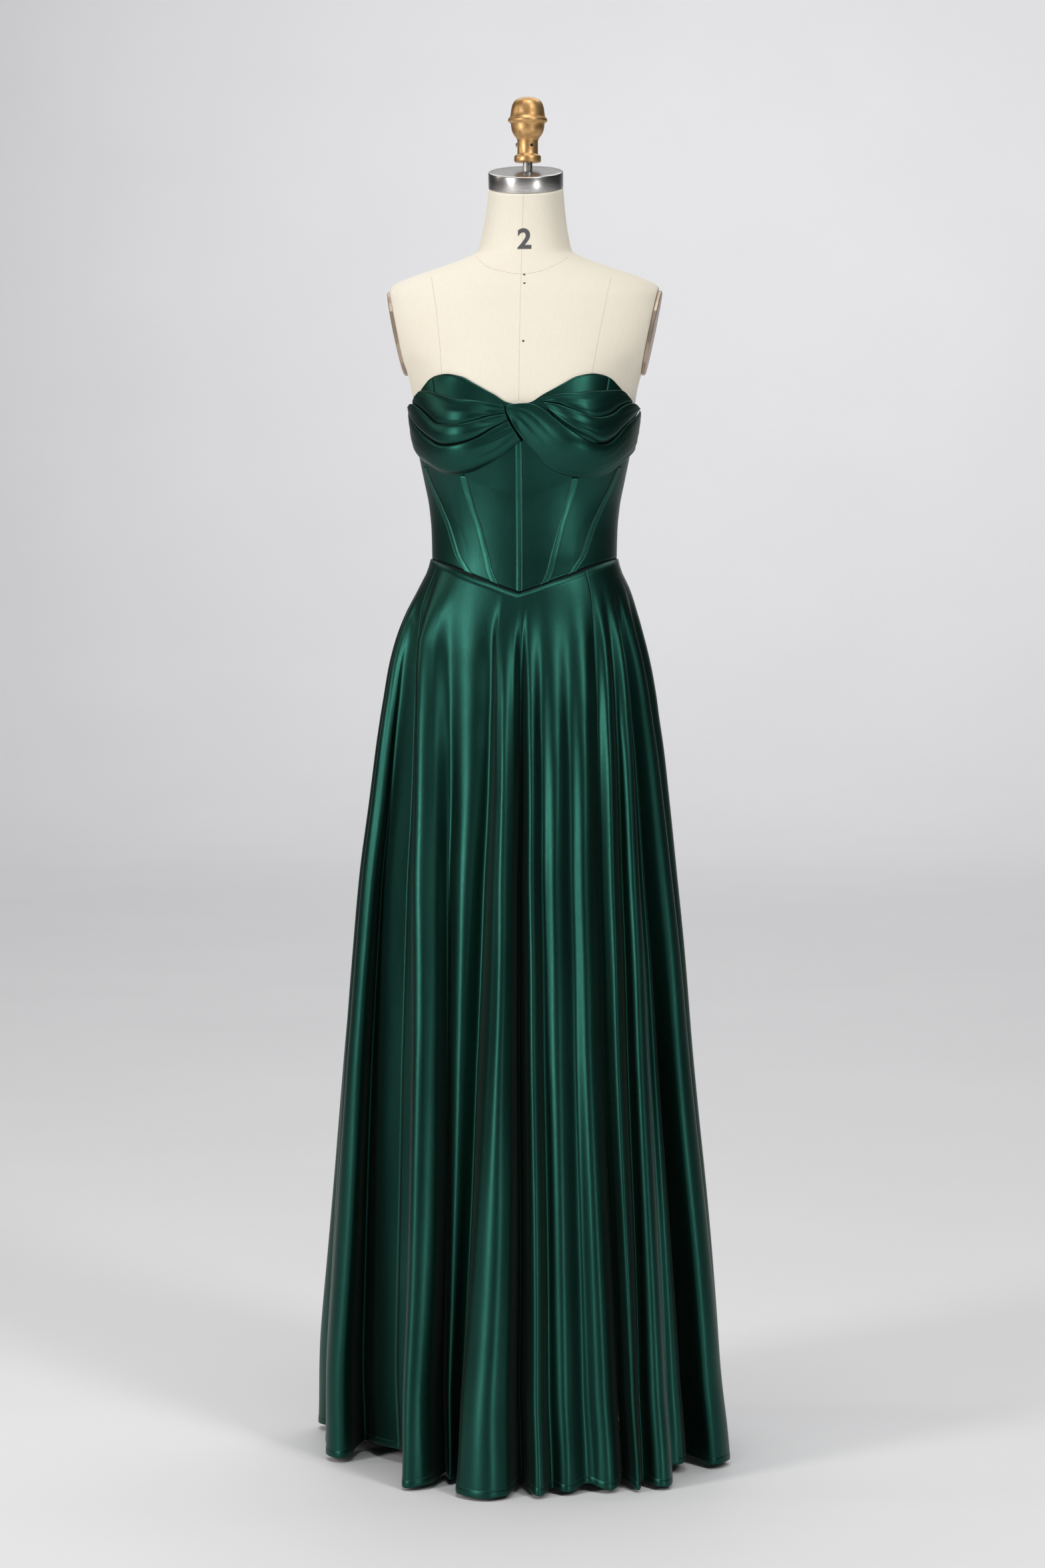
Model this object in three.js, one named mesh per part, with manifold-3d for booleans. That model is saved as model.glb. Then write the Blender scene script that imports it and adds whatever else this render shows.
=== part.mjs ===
// A strapless satin gown with a boned V-waist bodice, a pleated bust drape and a full folded skirt,
// on a limbless dress form with a neck cap, a knob, arm plates, a pole and a round foot.
// Millimetres, Z up, the front faces -Y, the origin is on the floor under the foot's centre.
import * as THREE from 'three';
import { mergeVertices } from 'three/addons/utils/BufferGeometryUtils.js';
import Module from 'manifold-3d';

const wasm = await Module();
wasm.setup();

// cloth sizes
const BODY_GAP = 1.5;          // clear space between the form and the bodice
const BODICE_WALL = 1.5;       // satin, interlining and lining of the bodice
const STRIP_GAP = 0.3;         // what lies on a panel is this far off it
const CHANNEL_WALL = 1.2;
const CHANNEL_WIDE = 8;
const DRAPE_WALL = 1.1;
const LAYER_STEP = 1.75;       // from one layer of a pleat to the next
const TUCK = 7;                // how far a pleat runs under the next one
const FOLD_REACH = 0.8;        // how far a fold's edge stands past its layers
const SKIRT_WALL = 1.8;
const SEAM_HALF = 0.16;        // half of the gap at a seam
const BODICE_OUT = BODY_GAP + BODICE_WALL;
const DRAPE_GAP = 0.9;         // the drapes hang this far off the cups
const DRAPE_BASE = BODICE_OUT + DRAPE_GAP + DRAPE_WALL / 2;

// sizes of the form and its stand
const FORM_BOTTOM = 850;
const BUST = { side: 80, height: 1288, out: 21, wide: 44, above: 62, below: 46 };
const NECK = { top: 1601, tilt: 0.242, lean: 10, aside: 2.5, bendFrom: 1510 };
const CAP = { radius: 46.8, high: 20.5, edge: 1.6 };
const ROD_RADIUS = 6;
const PLATE = { halfHigh: 54, halfDeep: 37, thick: 5.5, height: 1421, back: 3 };
const ARM_TOP = { half: 169.5, height: 1482 };
const ARM_LOW = { half: 146, height: 1368 };
const FOOT = { radius: 150, high: 16, boss: 26, bossHigh: 30 };
const POLE_RADIUS = 16;

const rad = (degrees) => degrees * Math.PI / 180;
const mix = (a, b, t) => a + (b - a) * t;
const clamp = (v, low, high) => Math.min(high, Math.max(low, v));

// one column of a table against its first column, smooth between the rows and never past them
function along(table, at, column) {
  const last = table.length - 1;
  if (at <= table[0][0]) return table[0][column];
  if (at >= table[last][0]) return table[last][column];
  let row = 0;
  while (table[row + 1][0] < at) row += 1;
  const rise = (k) => (table[k + 1][column] - table[k][column]) / (table[k + 1][0] - table[k][0]);
  const lean = (k) => {
    if (k === 0) return rise(0);
    if (k === last) return rise(last - 1);
    const [before, after] = [rise(k - 1), rise(k)];
    return before * after <= 0 ? 0 : 2 * before * after / (before + after);
  };
  const span = table[row + 1][0] - table[row][0];
  const t = (at - table[row][0]) / span;
  const [a, b] = [table[row][column], table[row + 1][column]];
  const bend = (1 - t) * span * lean(row) * t * (1 - t) - t * span * lean(row + 1) * t * (1 - t);
  return mix(a, b, t * t * (3 - 2 * t)) + bend;
}

// the form, upward: [height, half width, front depth, back depth]
const FORM_SECTIONS = [
  [850, 132, 88, 102], [900, 142, 94, 113], [940, 144, 96, 116], [1000, 140, 96, 110],
  [1060, 131, 92, 98], [1100, 120, 88, 87], [1138, 113.2, 86, 81], [1170, 113.8, 88, 83],
  [1204, 116.8, 92, 89], [1237, 123.2, 96, 95], [1271, 130, 100, 100], [1305, 135.5, 102, 103],
  [1340, 140, 100, 105], [1370, 147, 96, 105], [1395, 163, 91, 104], [1420, 172, 86, 102],
  [1445, 176, 80, 98], [1466, 176, 74, 91], [1480, 166, 66, 83], [1492, 139, 61, 77],
  [1503, 106, 58, 72], [1513, 78, 55, 68], [1523, 59.5, 53, 65], [1536, 55.5, 50, 58],
  [1560, 51, 48, 52], [1580, 48.5, 47.2, 48.5], [1601, 46.4, 46.4, 46.4],
];
const FORM_ROUND = 2.25;       // 2 is an oval, more is squarer

function ovalPoint(turn, half, front, back, round) {
  const side = Math.sin(rad(turn));
  const ahead = Math.cos(rad(turn));
  const power = 2 / round;
  const depth = ahead > 0 ? front : back;
  return [half * Math.sign(side) * Math.abs(side) ** power,
    depth * Math.sign(ahead) * Math.abs(ahead) ** power];
}

// a point of the form's skin: turn 0 faces the viewer, 90 is the viewer's right
function skin(turn, height) {
  const [x, reach] = ovalPoint(turn, along(FORM_SECTIONS, height, 1), along(FORM_SECTIONS, height, 2),
    along(FORM_SECTIONS, height, 3), FORM_ROUND);
  let depth = reach;
  if (reach > 0) {
    const tall = height > BUST.height ? BUST.above : BUST.below;
    const up = Math.exp(-(((height - BUST.height) / tall) ** 2));
    const across = Math.exp(-(((Math.abs(x) - BUST.side) / BUST.wide) ** 2));
    depth += BUST.out * up * across * Math.min(1, 3 * Math.cos(rad(turn)));
  }
  return new THREE.Vector3(x, -depth, height);
}

// a point that far out of a skin given by a function of turn and height
function outOf(surface, turn, height, out, step = 0.6) {
  const point = surface(turn, height);
  const across = surface(turn + step, height).sub(surface(turn - step, height));
  const up = surface(turn, height + 2).sub(surface(turn, height - 2));
  return point.addScaledVector(across.cross(up).normalize(), out);
}

// the turn that lies a given distance beside another on a surface
function beside(surface, turn, height, distance) {
  const start = surface(turn, height);
  let near = 0;
  let far = 3;
  for (let i = 0; i < 24; i += 1) {
    const middle = (near + far) / 2;
    const there = surface(turn + Math.sign(distance) * middle, height);
    if (there.distanceTo(start) < Math.abs(distance)) near = middle;
    else far = middle;
  }
  return turn + Math.sign(distance) * near;
}

// solids from grids of points
class Shape {
  constructor() {
    this.points = [];
    this.faces = [];
  }

  add(point) {
    this.points.push(point.x, point.y, point.z);
    return this.points.length / 3 - 1;
  }

  quad(a, b, c, d) {
    this.faces.push(a, b, c, a, c, d);
  }

  geometry() {
    const raw = new THREE.BufferGeometry();
    raw.setAttribute('position', new THREE.Float32BufferAttribute(this.points, 3));
    raw.setIndex(this.faces);
    const welded = mergeVertices(raw, 1e-3);
    const place = welded.getAttribute('position');
    const corners = [0, 1, 2].map(() => new THREE.Vector3());
    const kept = [];
    let volume = 0;
    const order = welded.getIndex().array;
    for (let i = 0; i < order.length; i += 3) {
      const [a, b, c] = [order[i], order[i + 1], order[i + 2]];
      if (a === b || b === c || a === c) continue;
      kept.push(a, b, c);
      [a, b, c].forEach((k, n) => corners[n].fromBufferAttribute(place, k));
      volume += corners[0].dot(corners[1].clone().cross(corners[2]));
    }
    if (volume < 0) {
      for (let i = 0; i < kept.length; i += 3) [kept[i], kept[i + 1]] = [kept[i + 1], kept[i]];
    }
    welded.setIndex(kept);
    return welded;
  }
}

// a wall between two grids; grid[i][j] is a point, i across and j up
function wallOf(outer, inner) {
  const shape = new Shape();
  const face = outer.map((line) => line.map((point) => shape.add(point)));
  const rear = inner.map((line) => line.map((point) => shape.add(point)));
  const across = outer.length - 1;
  const up = outer[0].length - 1;
  for (let i = 0; i < across; i += 1) {
    for (let j = 0; j < up; j += 1) {
      shape.quad(face[i][j], face[i + 1][j], face[i + 1][j + 1], face[i][j + 1]);
      shape.quad(rear[i][j], rear[i][j + 1], rear[i + 1][j + 1], rear[i + 1][j]);
    }
    shape.quad(face[i][0], rear[i][0], rear[i + 1][0], face[i + 1][0]);
    shape.quad(face[i][up], face[i + 1][up], rear[i + 1][up], rear[i][up]);
  }
  for (let j = 0; j < up; j += 1) {
    shape.quad(face[0][j], face[0][j + 1], rear[0][j + 1], rear[0][j]);
    shape.quad(face[across][j], rear[across][j], rear[across][j + 1], face[across][j + 1]);
  }
  return shape.geometry();
}

// a solid through closed rings, with flat ends
function loft(rings) {
  const shape = new Shape();
  const ids = rings.map((ring) => ring.map((point) => shape.add(point)));
  const count = rings[0].length;
  for (let r = 0; r + 1 < rings.length; r += 1) {
    for (let i = 0; i < count; i += 1) {
      const next = (i + 1) % count;
      shape.quad(ids[r][i], ids[r][next], ids[r + 1][next], ids[r + 1][i]);
    }
  }
  for (const [ring, flip] of [[0, true], [rings.length - 1, false]]) {
    const middle = new THREE.Vector3();
    rings[ring].forEach((point) => middle.addScaledVector(point, 1 / count));
    const centre = shape.add(middle);
    for (let i = 0; i < count; i += 1) {
      const next = (i + 1) % count;
      if (flip) shape.faces.push(centre, ids[ring][next], ids[ring][i]);
      else shape.faces.push(centre, ids[ring][i], ids[ring][next]);
    }
  }
  return shape.geometry();
}

// a turned solid: rows of [radius, height] from the bottom up, closed on the axis
function turned(rows, sides, place = (point) => point) {
  const rings = rows.map(([radius, height]) => Array.from({ length: sides }, (_, i) => {
    const angle = 2 * Math.PI * i / sides;
    return place(new THREE.Vector3(radius * Math.cos(angle), radius * Math.sin(angle), height));
  }));
  return loft(rings);
}

function toManifold(geometry) {
  const mesh = new wasm.Mesh({
    numProp: 3,
    vertProperties: new Float32Array(geometry.getAttribute('position').array),
    triVerts: new Uint32Array(geometry.getIndex().array),
  });
  return new wasm.Manifold(mesh);
}

function fromManifold(solid) {
  const mesh = solid.getMesh();
  const geometry = new THREE.BufferGeometry();
  geometry.setAttribute('position', new THREE.Float32BufferAttribute(mesh.vertProperties, 3));
  geometry.setIndex(Array.from(mesh.triVerts));
  return geometry;
}

// materials
const paint = (color, roughness, metalness = 0) => ({ color, roughness, metalness });
const SATIN = paint(0x1c5c4c, 0.36);
const LINEN = paint(0xf3ecdc, 0.9);
const STEEL = paint(0xb9b8b6, 0.35, 0.9);
const GOLD = paint(0xb8964f, 0.45, 0.75);
const PLATE_METAL = paint(0x8d8378, 0.4, 0.6);
const IRON = paint(0x3a3a3c, 0.5, 0.7);
const ZIP_METAL = paint(0x24594b, 0.4, 0.6);

const dress = new THREE.Group();
dress.name = 'gown';
const stand = new THREE.Group();
stand.name = 'dress_form';
const model = new THREE.Group();
model.add(dress, stand);

function put(group, name, geometry, look, double = false) {
  const material = new THREE.MeshStandardMaterial(look);
  if (double) material.side = THREE.DoubleSide;
  const mesh = new THREE.Mesh(geometry, material);
  mesh.name = name;
  group.add(mesh);
  return mesh;
}

// bodice: its edges against the turn from the front, the same on both sides
// [turn, height]
const TOP_EDGE = [
  [0, 1328], [5, 1331.5], [10, 1340], [15, 1347], [20, 1354], [27, 1363], [36, 1366.5], [42, 1365],
  [48, 1361], [55, 1352.5], [62, 1344], [70, 1336], [78, 1330], [90, 1326], [120, 1323], [180, 1320],
];
const WAIST = [
  [0, 1096], [8, 1103], [15, 1109], [25, 1116], [36, 1123], [45, 1128], [54, 1131.5], [63, 1134.5],
  [76, 1137], [90, 1138], [180, 1138],
];
// seams: [height, turn of the inner seam, turn of the outer seam]
const SEAMS = [
  [1096, 9, 24], [1111, 13.5, 27], [1124, 16.5, 32], [1143, 19, 40], [1165, 22, 45], [1184, 24.5, 49.5],
  [1199, 27, 54], [1227, 30, 62], [1243, 31, 66], [1262, 32, 70],
];
const UNDERBUST = 1262;
const UNDERBUST_RISE = 27;    // that far up at the middle of the front
const UNDERBUST_FLAT = 32;    // from this turn on it runs level
const CUP_SEAM = 46;
const CUP_END = 70;
const PANEL_ROWS = 7;         // rows of a panel from the waist to the seam under the bust
const topEdge = (turn) => along(TOP_EDGE, Math.abs(turn), 1);
const waist = (turn) => along(WAIST, Math.abs(turn), 1);
const underbust = (turn) => UNDERBUST + UNDERBUST_RISE * Math.max(0, 1 - Math.abs(turn) / UNDERBUST_FLAT);
const innerSeam = (height) => along(SEAMS, height, 1);
const outerSeam = (height) => (height > UNDERBUST ? CUP_END : along(SEAMS, height, 2));

// a panel on the form between two seams and two edges; side is 1 on the viewer's right
function bodicePanel(name, side, from, to, low, high, across, up) {
  const outer = [];
  const inner = [];
  for (let i = 0; i <= across; i += 1) {
    const outerLine = [];
    const innerLine = [];
    for (let j = 0; j <= up; j += 1) {
      let height = mix(UNDERBUST, 1140, 0.5);
      let turn = 0;
      for (let k = 0; k < 8; k += 1) {
        const start = beside(skin, from(height), height, SEAM_HALF);
        const end = beside(skin, to(height), height, -SEAM_HALF);
        turn = mix(start, end, i / across);
        const seam = underbust(turn);
        height = j <= PANEL_ROWS || high(turn) < seam
          ? mix(low(turn), Math.min(high(turn), seam), Math.min(1, j / Math.min(up, PANEL_ROWS)))
          : mix(seam, high(turn), (j - PANEL_ROWS) / (up - PANEL_ROWS));
        if (low(turn) > seam) height = mix(low(turn), high(turn), j / up);
      }
      outerLine.push(outOf(skin, side * turn, height, BODICE_OUT));
      innerLine.push(outOf(skin, side * turn, height, BODY_GAP));
    }
    outer.push(outerLine);
    inner.push(innerLine);
  }
  put(dress, name, wallOf(outer, inner), SATIN, true);
}

const always = (value) => () => value;
const lowerEdge = (turn) => waist(turn) + SEAM_HALF;
for (const [side, hand] of [[-1, 'left'], [1, 'right']]) {
  const underCup = (turn) => underbust(turn) - SEAM_HALF;
  const cupFoot = (turn) => underbust(turn) + SEAM_HALF;
  bodicePanel(`bodice_front_${hand}`, side, always(0), innerSeam, lowerEdge, underCup, 3, 7);
  bodicePanel(`bodice_side_front_${hand}`, side, innerSeam, outerSeam, lowerEdge, underCup, 4, 7);
  bodicePanel(`bodice_side_${hand}`, side, outerSeam, always(90), lowerEdge, topEdge, 6, 10);
  bodicePanel(`bodice_back_${hand}`, side, always(90), always(180), lowerEdge, topEdge, 8, 10);
  bodicePanel(`cup_inner_${hand}`, side, always(0), always(CUP_SEAM), cupFoot, topEdge, 8, 5);
  bodicePanel(`cup_outer_${hand}`, side, always(CUP_SEAM), always(CUP_END), cupFoot, topEdge, 3, 5);
}

// bust drapes
// each row is a station from the centre to the side; each pair is a pleat's edge, [turn, height]
const DRAPE_LEFT = [
  [-6, 1326.5, -5.2, 1316, -4.2, 1308, 1, 1285], [-12, 1329, -13, 1313, -13, 1297, -7, 1267],
  [-17, 1331, -20, 1308, -21, 1287, -15, 1256], [-23, 1333, -28, 1304, -31, 1281, -25, 1247],
  [-29, 1334, -36, 1303, -42, 1280, -36, 1244], [-35, 1337, -44, 1305, -51, 1287, -47, 1247],
  [-41, 1341, -50, 1313, -61, 1297, -57, 1255], [-46, 1344, -57, 1322, -70, 1306, -68, 1262],
  [-52, 1346, -64, 1329, -80, 1316, -78, 1268], [-58, 1346.5, -72, 1332, -89.5, 1324, -89.5, 1274],
];
const DRAPE_RIGHT = [
  [9.6, 1334.5, 10.8, 1330, 12.6, 1323.5], [15, 1338, 18, 1327, 20, 1308], [20, 1340, 24, 1322, 28, 1296],
  [26, 1341, 31, 1317, 37, 1287], [31, 1342.5, 38, 1312, 46, 1281], [36, 1344, 45, 1313, 55, 1288],
  [42, 1345, 52, 1318, 63, 1301], [47, 1346, 58, 1326, 72, 1311], [53, 1347, 65, 1331, 81, 1319],
  [58, 1346.5, 72, 1332, 89.5, 1324],
];
const DRAPE_WRAP = [
  [-5, 1327, -5, 1320], [4, 1329, -2, 1303], [11, 1322, 2, 1286], [18, 1309, 8, 1270],
  [25, 1298, 14, 1254], [33, 1288, 23, 1245], [41, 1281, 33, 1242], [50, 1282, 43, 1242],
  [57, 1291, 52, 1246], [64, 1303, 61, 1254], [72, 1311, 70, 1263], [81, 1318, 80, 1270],
  [89.5, 1324, 89.5, 1276],
];

// a smooth curve through a table's rows, at a share of its length
function station(table, share, column) {
  const place = share * (table.length - 1);
  const row = Math.min(table.length - 2, Math.floor(place));
  const t = place - row;
  const at = (k) => table[clamp(k, 0, table.length - 1)][column];
  const [a, b, c, d] = [at(row - 1), at(row), at(row + 1), at(row + 2)];
  return b + 0.5 * t * (c - a + t * (2 * a - 5 * b + 4 * c - d + t * (3 * (b - c) + d - a)));
}

// the layers of a pleated stretch as [distance down the column, distance off the form]
function pleatPath(edges, options) {
  const { base, bulge, tuckUnderLast, foldedFoot } = options;
  const path = [];
  const bands = edges.length - 1;
  const firstTuck = Math.min(TUCK, 0.45 * (edges[1] - edges[0]));
  path.push([edges[0] + firstTuck, base]);
  path.push([edges[0] + FOLD_REACH, base]);
  path.push([edges[0], base + LAYER_STEP / 2]);
  path.push([edges[0] + FOLD_REACH, base + LAYER_STEP]);
  for (let k = 0; k < bands; k += 1) {
    const top = edges[k];
    const foot = edges[k + 1];
    const tall = foot - top;
    const high = base + (k === 0 ? 1 : 2) * LAYER_STEP;
    const swell = bulge * clamp(tall / 30, 0.15, 1);
    path.push([top + 0.28 * tall, high + 0.9 * swell]);
    path.push([top + 0.64 * tall, mix(high, base, 0.25) + 0.8 * swell]);
    if (k < bands - 1) {
      const tuck = Math.min(TUCK, 0.42 * (edges[k + 2] - foot));
      path.push([foot - 0.04 * tall, base + 0.1]);
      path.push([foot + tuck, base]);
      path.push([foot + tuck + FOLD_REACH, base + LAYER_STEP / 2]);
      path.push([foot + tuck, base + LAYER_STEP]);
      path.push([foot + FOLD_REACH, base + LAYER_STEP]);
      path.push([foot, base + 1.5 * LAYER_STEP]);
      path.push([foot + FOLD_REACH, base + 2 * LAYER_STEP]);
    } else if (foldedFoot) {
      path.push([foot - FOLD_REACH, base + LAYER_STEP]);
      path.push([foot, base + LAYER_STEP / 2]);
      path.push([foot - FOLD_REACH, base]);
      path.push([foot - Math.min(TUCK, 0.3 * tall), base]);
    } else {
      path.push([foot - 0.04 * tall, base + 0.1]);
      path.push([foot + tuckUnderLast, base]);
    }
  }
  return path;
}

// both faces of a thick path
function thicken(path, wall) {
  const faces = [[], []];
  path.forEach((point, i) => {
    const before = path[Math.max(0, i - 1)];
    const after = path[Math.min(path.length - 1, i + 1)];
    const first = new THREE.Vector2(point[0] - before[0], point[1] - before[1]);
    const second = new THREE.Vector2(after[0] - point[0], after[1] - point[1]);
    if (first.length() === 0) first.copy(second);
    if (second.length() === 0) second.copy(first);
    first.normalize();
    second.normalize();
    const normal = new THREE.Vector2(-(first.y + second.y), first.x + second.x).normalize();
    const stretch = 1 / Math.max(0.75, Math.abs(normal.dot(new THREE.Vector2(-second.y, second.x))));
    [1, -1].forEach((sign, n) => {
      const far = sign * stretch * wall / 2;
      faces[n].push([point[0] + normal.x * far, point[1] + normal.y * far]);
    });
  });
  return faces;
}

function pleated(name, table, across, options) {
  const lines = table[0].length / 2;
  const outer = [];
  const inner = [];
  for (let i = 0; i <= across; i += 1) {
    const share = i / across;
    const knots = [];
    for (let k = 0; k < lines; k += 1) {
      knots.push([station(table, share, 2 * k), station(table, share, 2 * k + 1)]);
    }
    const down = [0];
    for (let k = 1; k < lines; k += 1) {
      const gap = skin(...knots[k]).distanceTo(skin(...knots[k - 1]));
      down.push(down[k - 1] + gap);
    }
    const rows = knots.map((knot, k) => [down[k], ...knot]);
    const place = ([distance, off]) => {
      const last = rows.length - 1;
      const row = clamp(rows.findIndex((r) => r[0] >= distance) - 1, 0, last - 1);
      const use = distance > down[last] ? last - 1 : row;
      const t = (distance - rows[use][0]) / (rows[use + 1][0] - rows[use][0]);
      return outOf(skin, mix(rows[use][1], rows[use + 1][1], t), mix(rows[use][2], rows[use + 1][2], t), off);
    };
    const swell = mix(0.3, 1, Math.sin(Math.PI * clamp(share * 1.1, 0, 1)));
    const shaped = { ...options, base: options.baseAt(share), bulge: options.bulge * swell };
    const [face, rear] = thicken(pleatPath(down, shaped), DRAPE_WALL);
    outer.push(face.map(place));
    inner.push(rear.map(place));
  }
  put(dress, name, wallOf(outer, inner), SATIN, true);
}

const lowDrape = () => DRAPE_BASE;
pleated('drape_left', DRAPE_LEFT, 13, { baseAt: lowDrape, bulge: 3, tuckUnderLast: 0 });
pleated('drape_right', DRAPE_RIGHT, 13, { baseAt: lowDrape, bulge: 3, tuckUnderLast: 6 });
const wrapBase = () => DRAPE_BASE + LAYER_STEP;
pleated('drape_wrap', DRAPE_WRAP, 16, { baseAt: wrapBase, bulge: 3.5, foldedFoot: true });

// boning channels: strips over the seams, from the drape's foot to the waist
// [height of the upper end, turn as a function of height]
const CHANNELS = [
  ['channel_centre', 1276, () => 0],
  ['channel_inner_left', 1242, (height) => -innerSeam(height)],
  ['channel_inner_right', 1240, (height) => innerSeam(height)],
  ['channel_outer_left', 1254, (height) => -along(SEAMS, height, 2)],
  ['channel_outer_right', 1254, (height) => along(SEAMS, height, 2)],
];
for (const [name, top, middle] of CHANNELS) {
  const outer = [];
  const inner = [];
  // the strip bends where the panels under it bend
  const foot = waist(middle(1110));
  const shares = Array.from({ length: PANEL_ROWS + 1 }, (_, k) => k / PANEL_ROWS)
    .filter((share) => mix(foot, underbust(middle(1250)), share) < top - 6);
  for (let i = 0; i <= 2; i += 1) {
    const heights = [...shares, null].map((share) => {
      let height = share === null ? top : mix(foot, UNDERBUST, share);
      let turn = 0;
      for (let k = 0; k < 8; k += 1) {
        const shift = (i - 1) * CHANNEL_WIDE / 2;
        turn = shift === 0 ? middle(height) : beside(skin, middle(height), height, shift);
        if (share !== null) height = mix(waist(turn) + 0.6, underbust(turn), share);
      }
      return [turn, height];
    });
    const crown = i === 1 ? 0 : -0.25;
    inner.push(heights.map((at) => outOf(skin, ...at, BODICE_OUT + STRIP_GAP)));
    outer.push(heights.map((at) => outOf(skin, ...at, BODICE_OUT + STRIP_GAP + CHANNEL_WALL + crown)));
  }
  put(dress, name, wallOf(outer, inner), SATIN, true);
}

// the closure: a hidden zip in the back seam, of which the slider and its pull show
const ZIP = {
  height: 1309, wide: 6, long: 10, thick: 2, cheekHigh: 2.6, cheekWide: 1.1, cheekLong: 4.6,
  pinRadius: 0.55, bore: 0.72, eye: 1.35, pinUp: 1.2, pinOut: 3.6, pullLong: 21, pullThick: 1,
};
const zipUp = skin(180, ZIP.height + 8).sub(skin(180, ZIP.height - 8)).normalize();
const zipOut = new THREE.Vector3(0, zipUp.z, -zipUp.y);
const zipSeat = outOf(skin, 180, ZIP.height, BODICE_OUT + STRIP_GAP + 0.15);
const zipPlace = (x, up, out) => zipSeat.clone().add(new THREE.Vector3(x, 0, 0))
  .addScaledVector(zipUp, up).addScaledVector(zipOut, out);

// a block between two corners of the zip's own frame: across, up the seam, out of the back
function zipBlock(from, to) {
  const corners = [[0, 0], [1, 0], [1, 1], [0, 1]];
  const ring = (out) => corners.map(([a, b]) => zipPlace(mix(from[0], to[0], a), mix(from[1], to[1], b), out));
  return toManifold(loft([ring(from[2]), ring(to[2])]));
}

// a round bar across the seam
function zipBar(radius, halfWide, sides) {
  const ring = (x) => Array.from({ length: sides }, (_, i) => {
    const angle = 2 * Math.PI * i / sides;
    return zipPlace(x, ZIP.pinUp + radius * Math.cos(angle), ZIP.pinOut + radius * Math.sin(angle));
  });
  return toManifold(loft([ring(-halfWide), ring(halfWide)]));
}

const zipHalf = ZIP.wide / 2;
const cheekIn = zipHalf - ZIP.cheekWide;
let slider = zipBlock([-zipHalf, -ZIP.long / 2, 0], [zipHalf, ZIP.long / 2, ZIP.thick]);
for (const side of [-1, 1]) {
  const cheek = zipBlock([Math.min(side * cheekIn, side * zipHalf), ZIP.pinUp - ZIP.cheekLong / 2, ZIP.thick - 0.2],
    [Math.max(side * cheekIn, side * zipHalf), ZIP.pinUp + ZIP.cheekLong / 2, ZIP.thick + ZIP.cheekHigh]);
  slider = slider.add(cheek);
}
slider = slider.add(zipBar(ZIP.pinRadius, zipHalf - 0.3, 12));
put(dress, 'zip_slider', fromManifold(slider), ZIP_METAL);
const neckHalf = cheekIn - 0.3;
const pullBack = ZIP.pinOut - ZIP.pullThick / 2;
const pullFront = ZIP.pinOut + ZIP.pullThick / 2;
let pull = zipBar(ZIP.eye, neckHalf, 16)
  .add(zipBlock([-neckHalf, -5, pullBack], [neckHalf, ZIP.pinUp, pullFront]))
  .add(zipBlock([-2.6, -ZIP.pullLong + ZIP.pinUp, pullBack], [2.6, -4.6, pullFront]));
pull = pull.subtract(zipBar(ZIP.bore, zipHalf, 16));
put(dress, 'zip_pull', fromManifold(pull), ZIP_METAL);
const zipPin = zipPlace(0, ZIP.pinUp, ZIP.pinOut);
dress.userData.zipPin = zipPin.toArray().map((value) => Number(value.toFixed(3)));

// skirt
// the outline without folds, upward:
// [height, half width, front depth, back depth, roundness, shift to the viewer's right]
const SKIRT_SECTIONS = [
  [-50, 261, 271, 330, 2, 0], [5, 259.5, 267, 325, 2, 0], [128, 253, 251, 310, 2, -4.5],
  [229, 245.5, 239, 294, 2, -5], [330, 237.5, 228, 278, 2, -6], [431, 229, 216, 262, 2, -7.5],
  [532, 220.5, 203, 246, 2, -8.5], [632, 212, 190, 228, 2.02, -8.5], [733, 202, 175, 208, 2.04, -9],
  [834, 190, 159, 188, 2.06, -7.5], [901, 182, 147, 173, 2.08, -7], [935, 177, 139, 164, 2.1, -7],
  [968, 172, 131, 154, 2.12, -6.5], [1002, 166, 121, 142, 2.15, -6.5], [1036, 157.5, 110, 128, 2.18, -6],
  [1069, 146.5, 101, 112, 2.2, -4], [1103, 132, 94.5, 98, 2.22, -0.5], [1125, 121.4, 91.5, 89, 2.25, 0],
  [1140, 117.8, 91, 86, 2.25, 0],
];
// fold depth, upward: [height, share of the depth at the hem]
const FOLD_START = 100;        // below the waist, where the folds have all of that depth
const FOLD_DEPTH = [
  [5, 1], [200, 0.92], [430, 0.82], [700, 0.7], [850, 0.6], [960, 0.48], [1030, 0.34], [1070, 0.22],
  [1100, 0.1], [1130, 0], [1140, 0],
];
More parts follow.
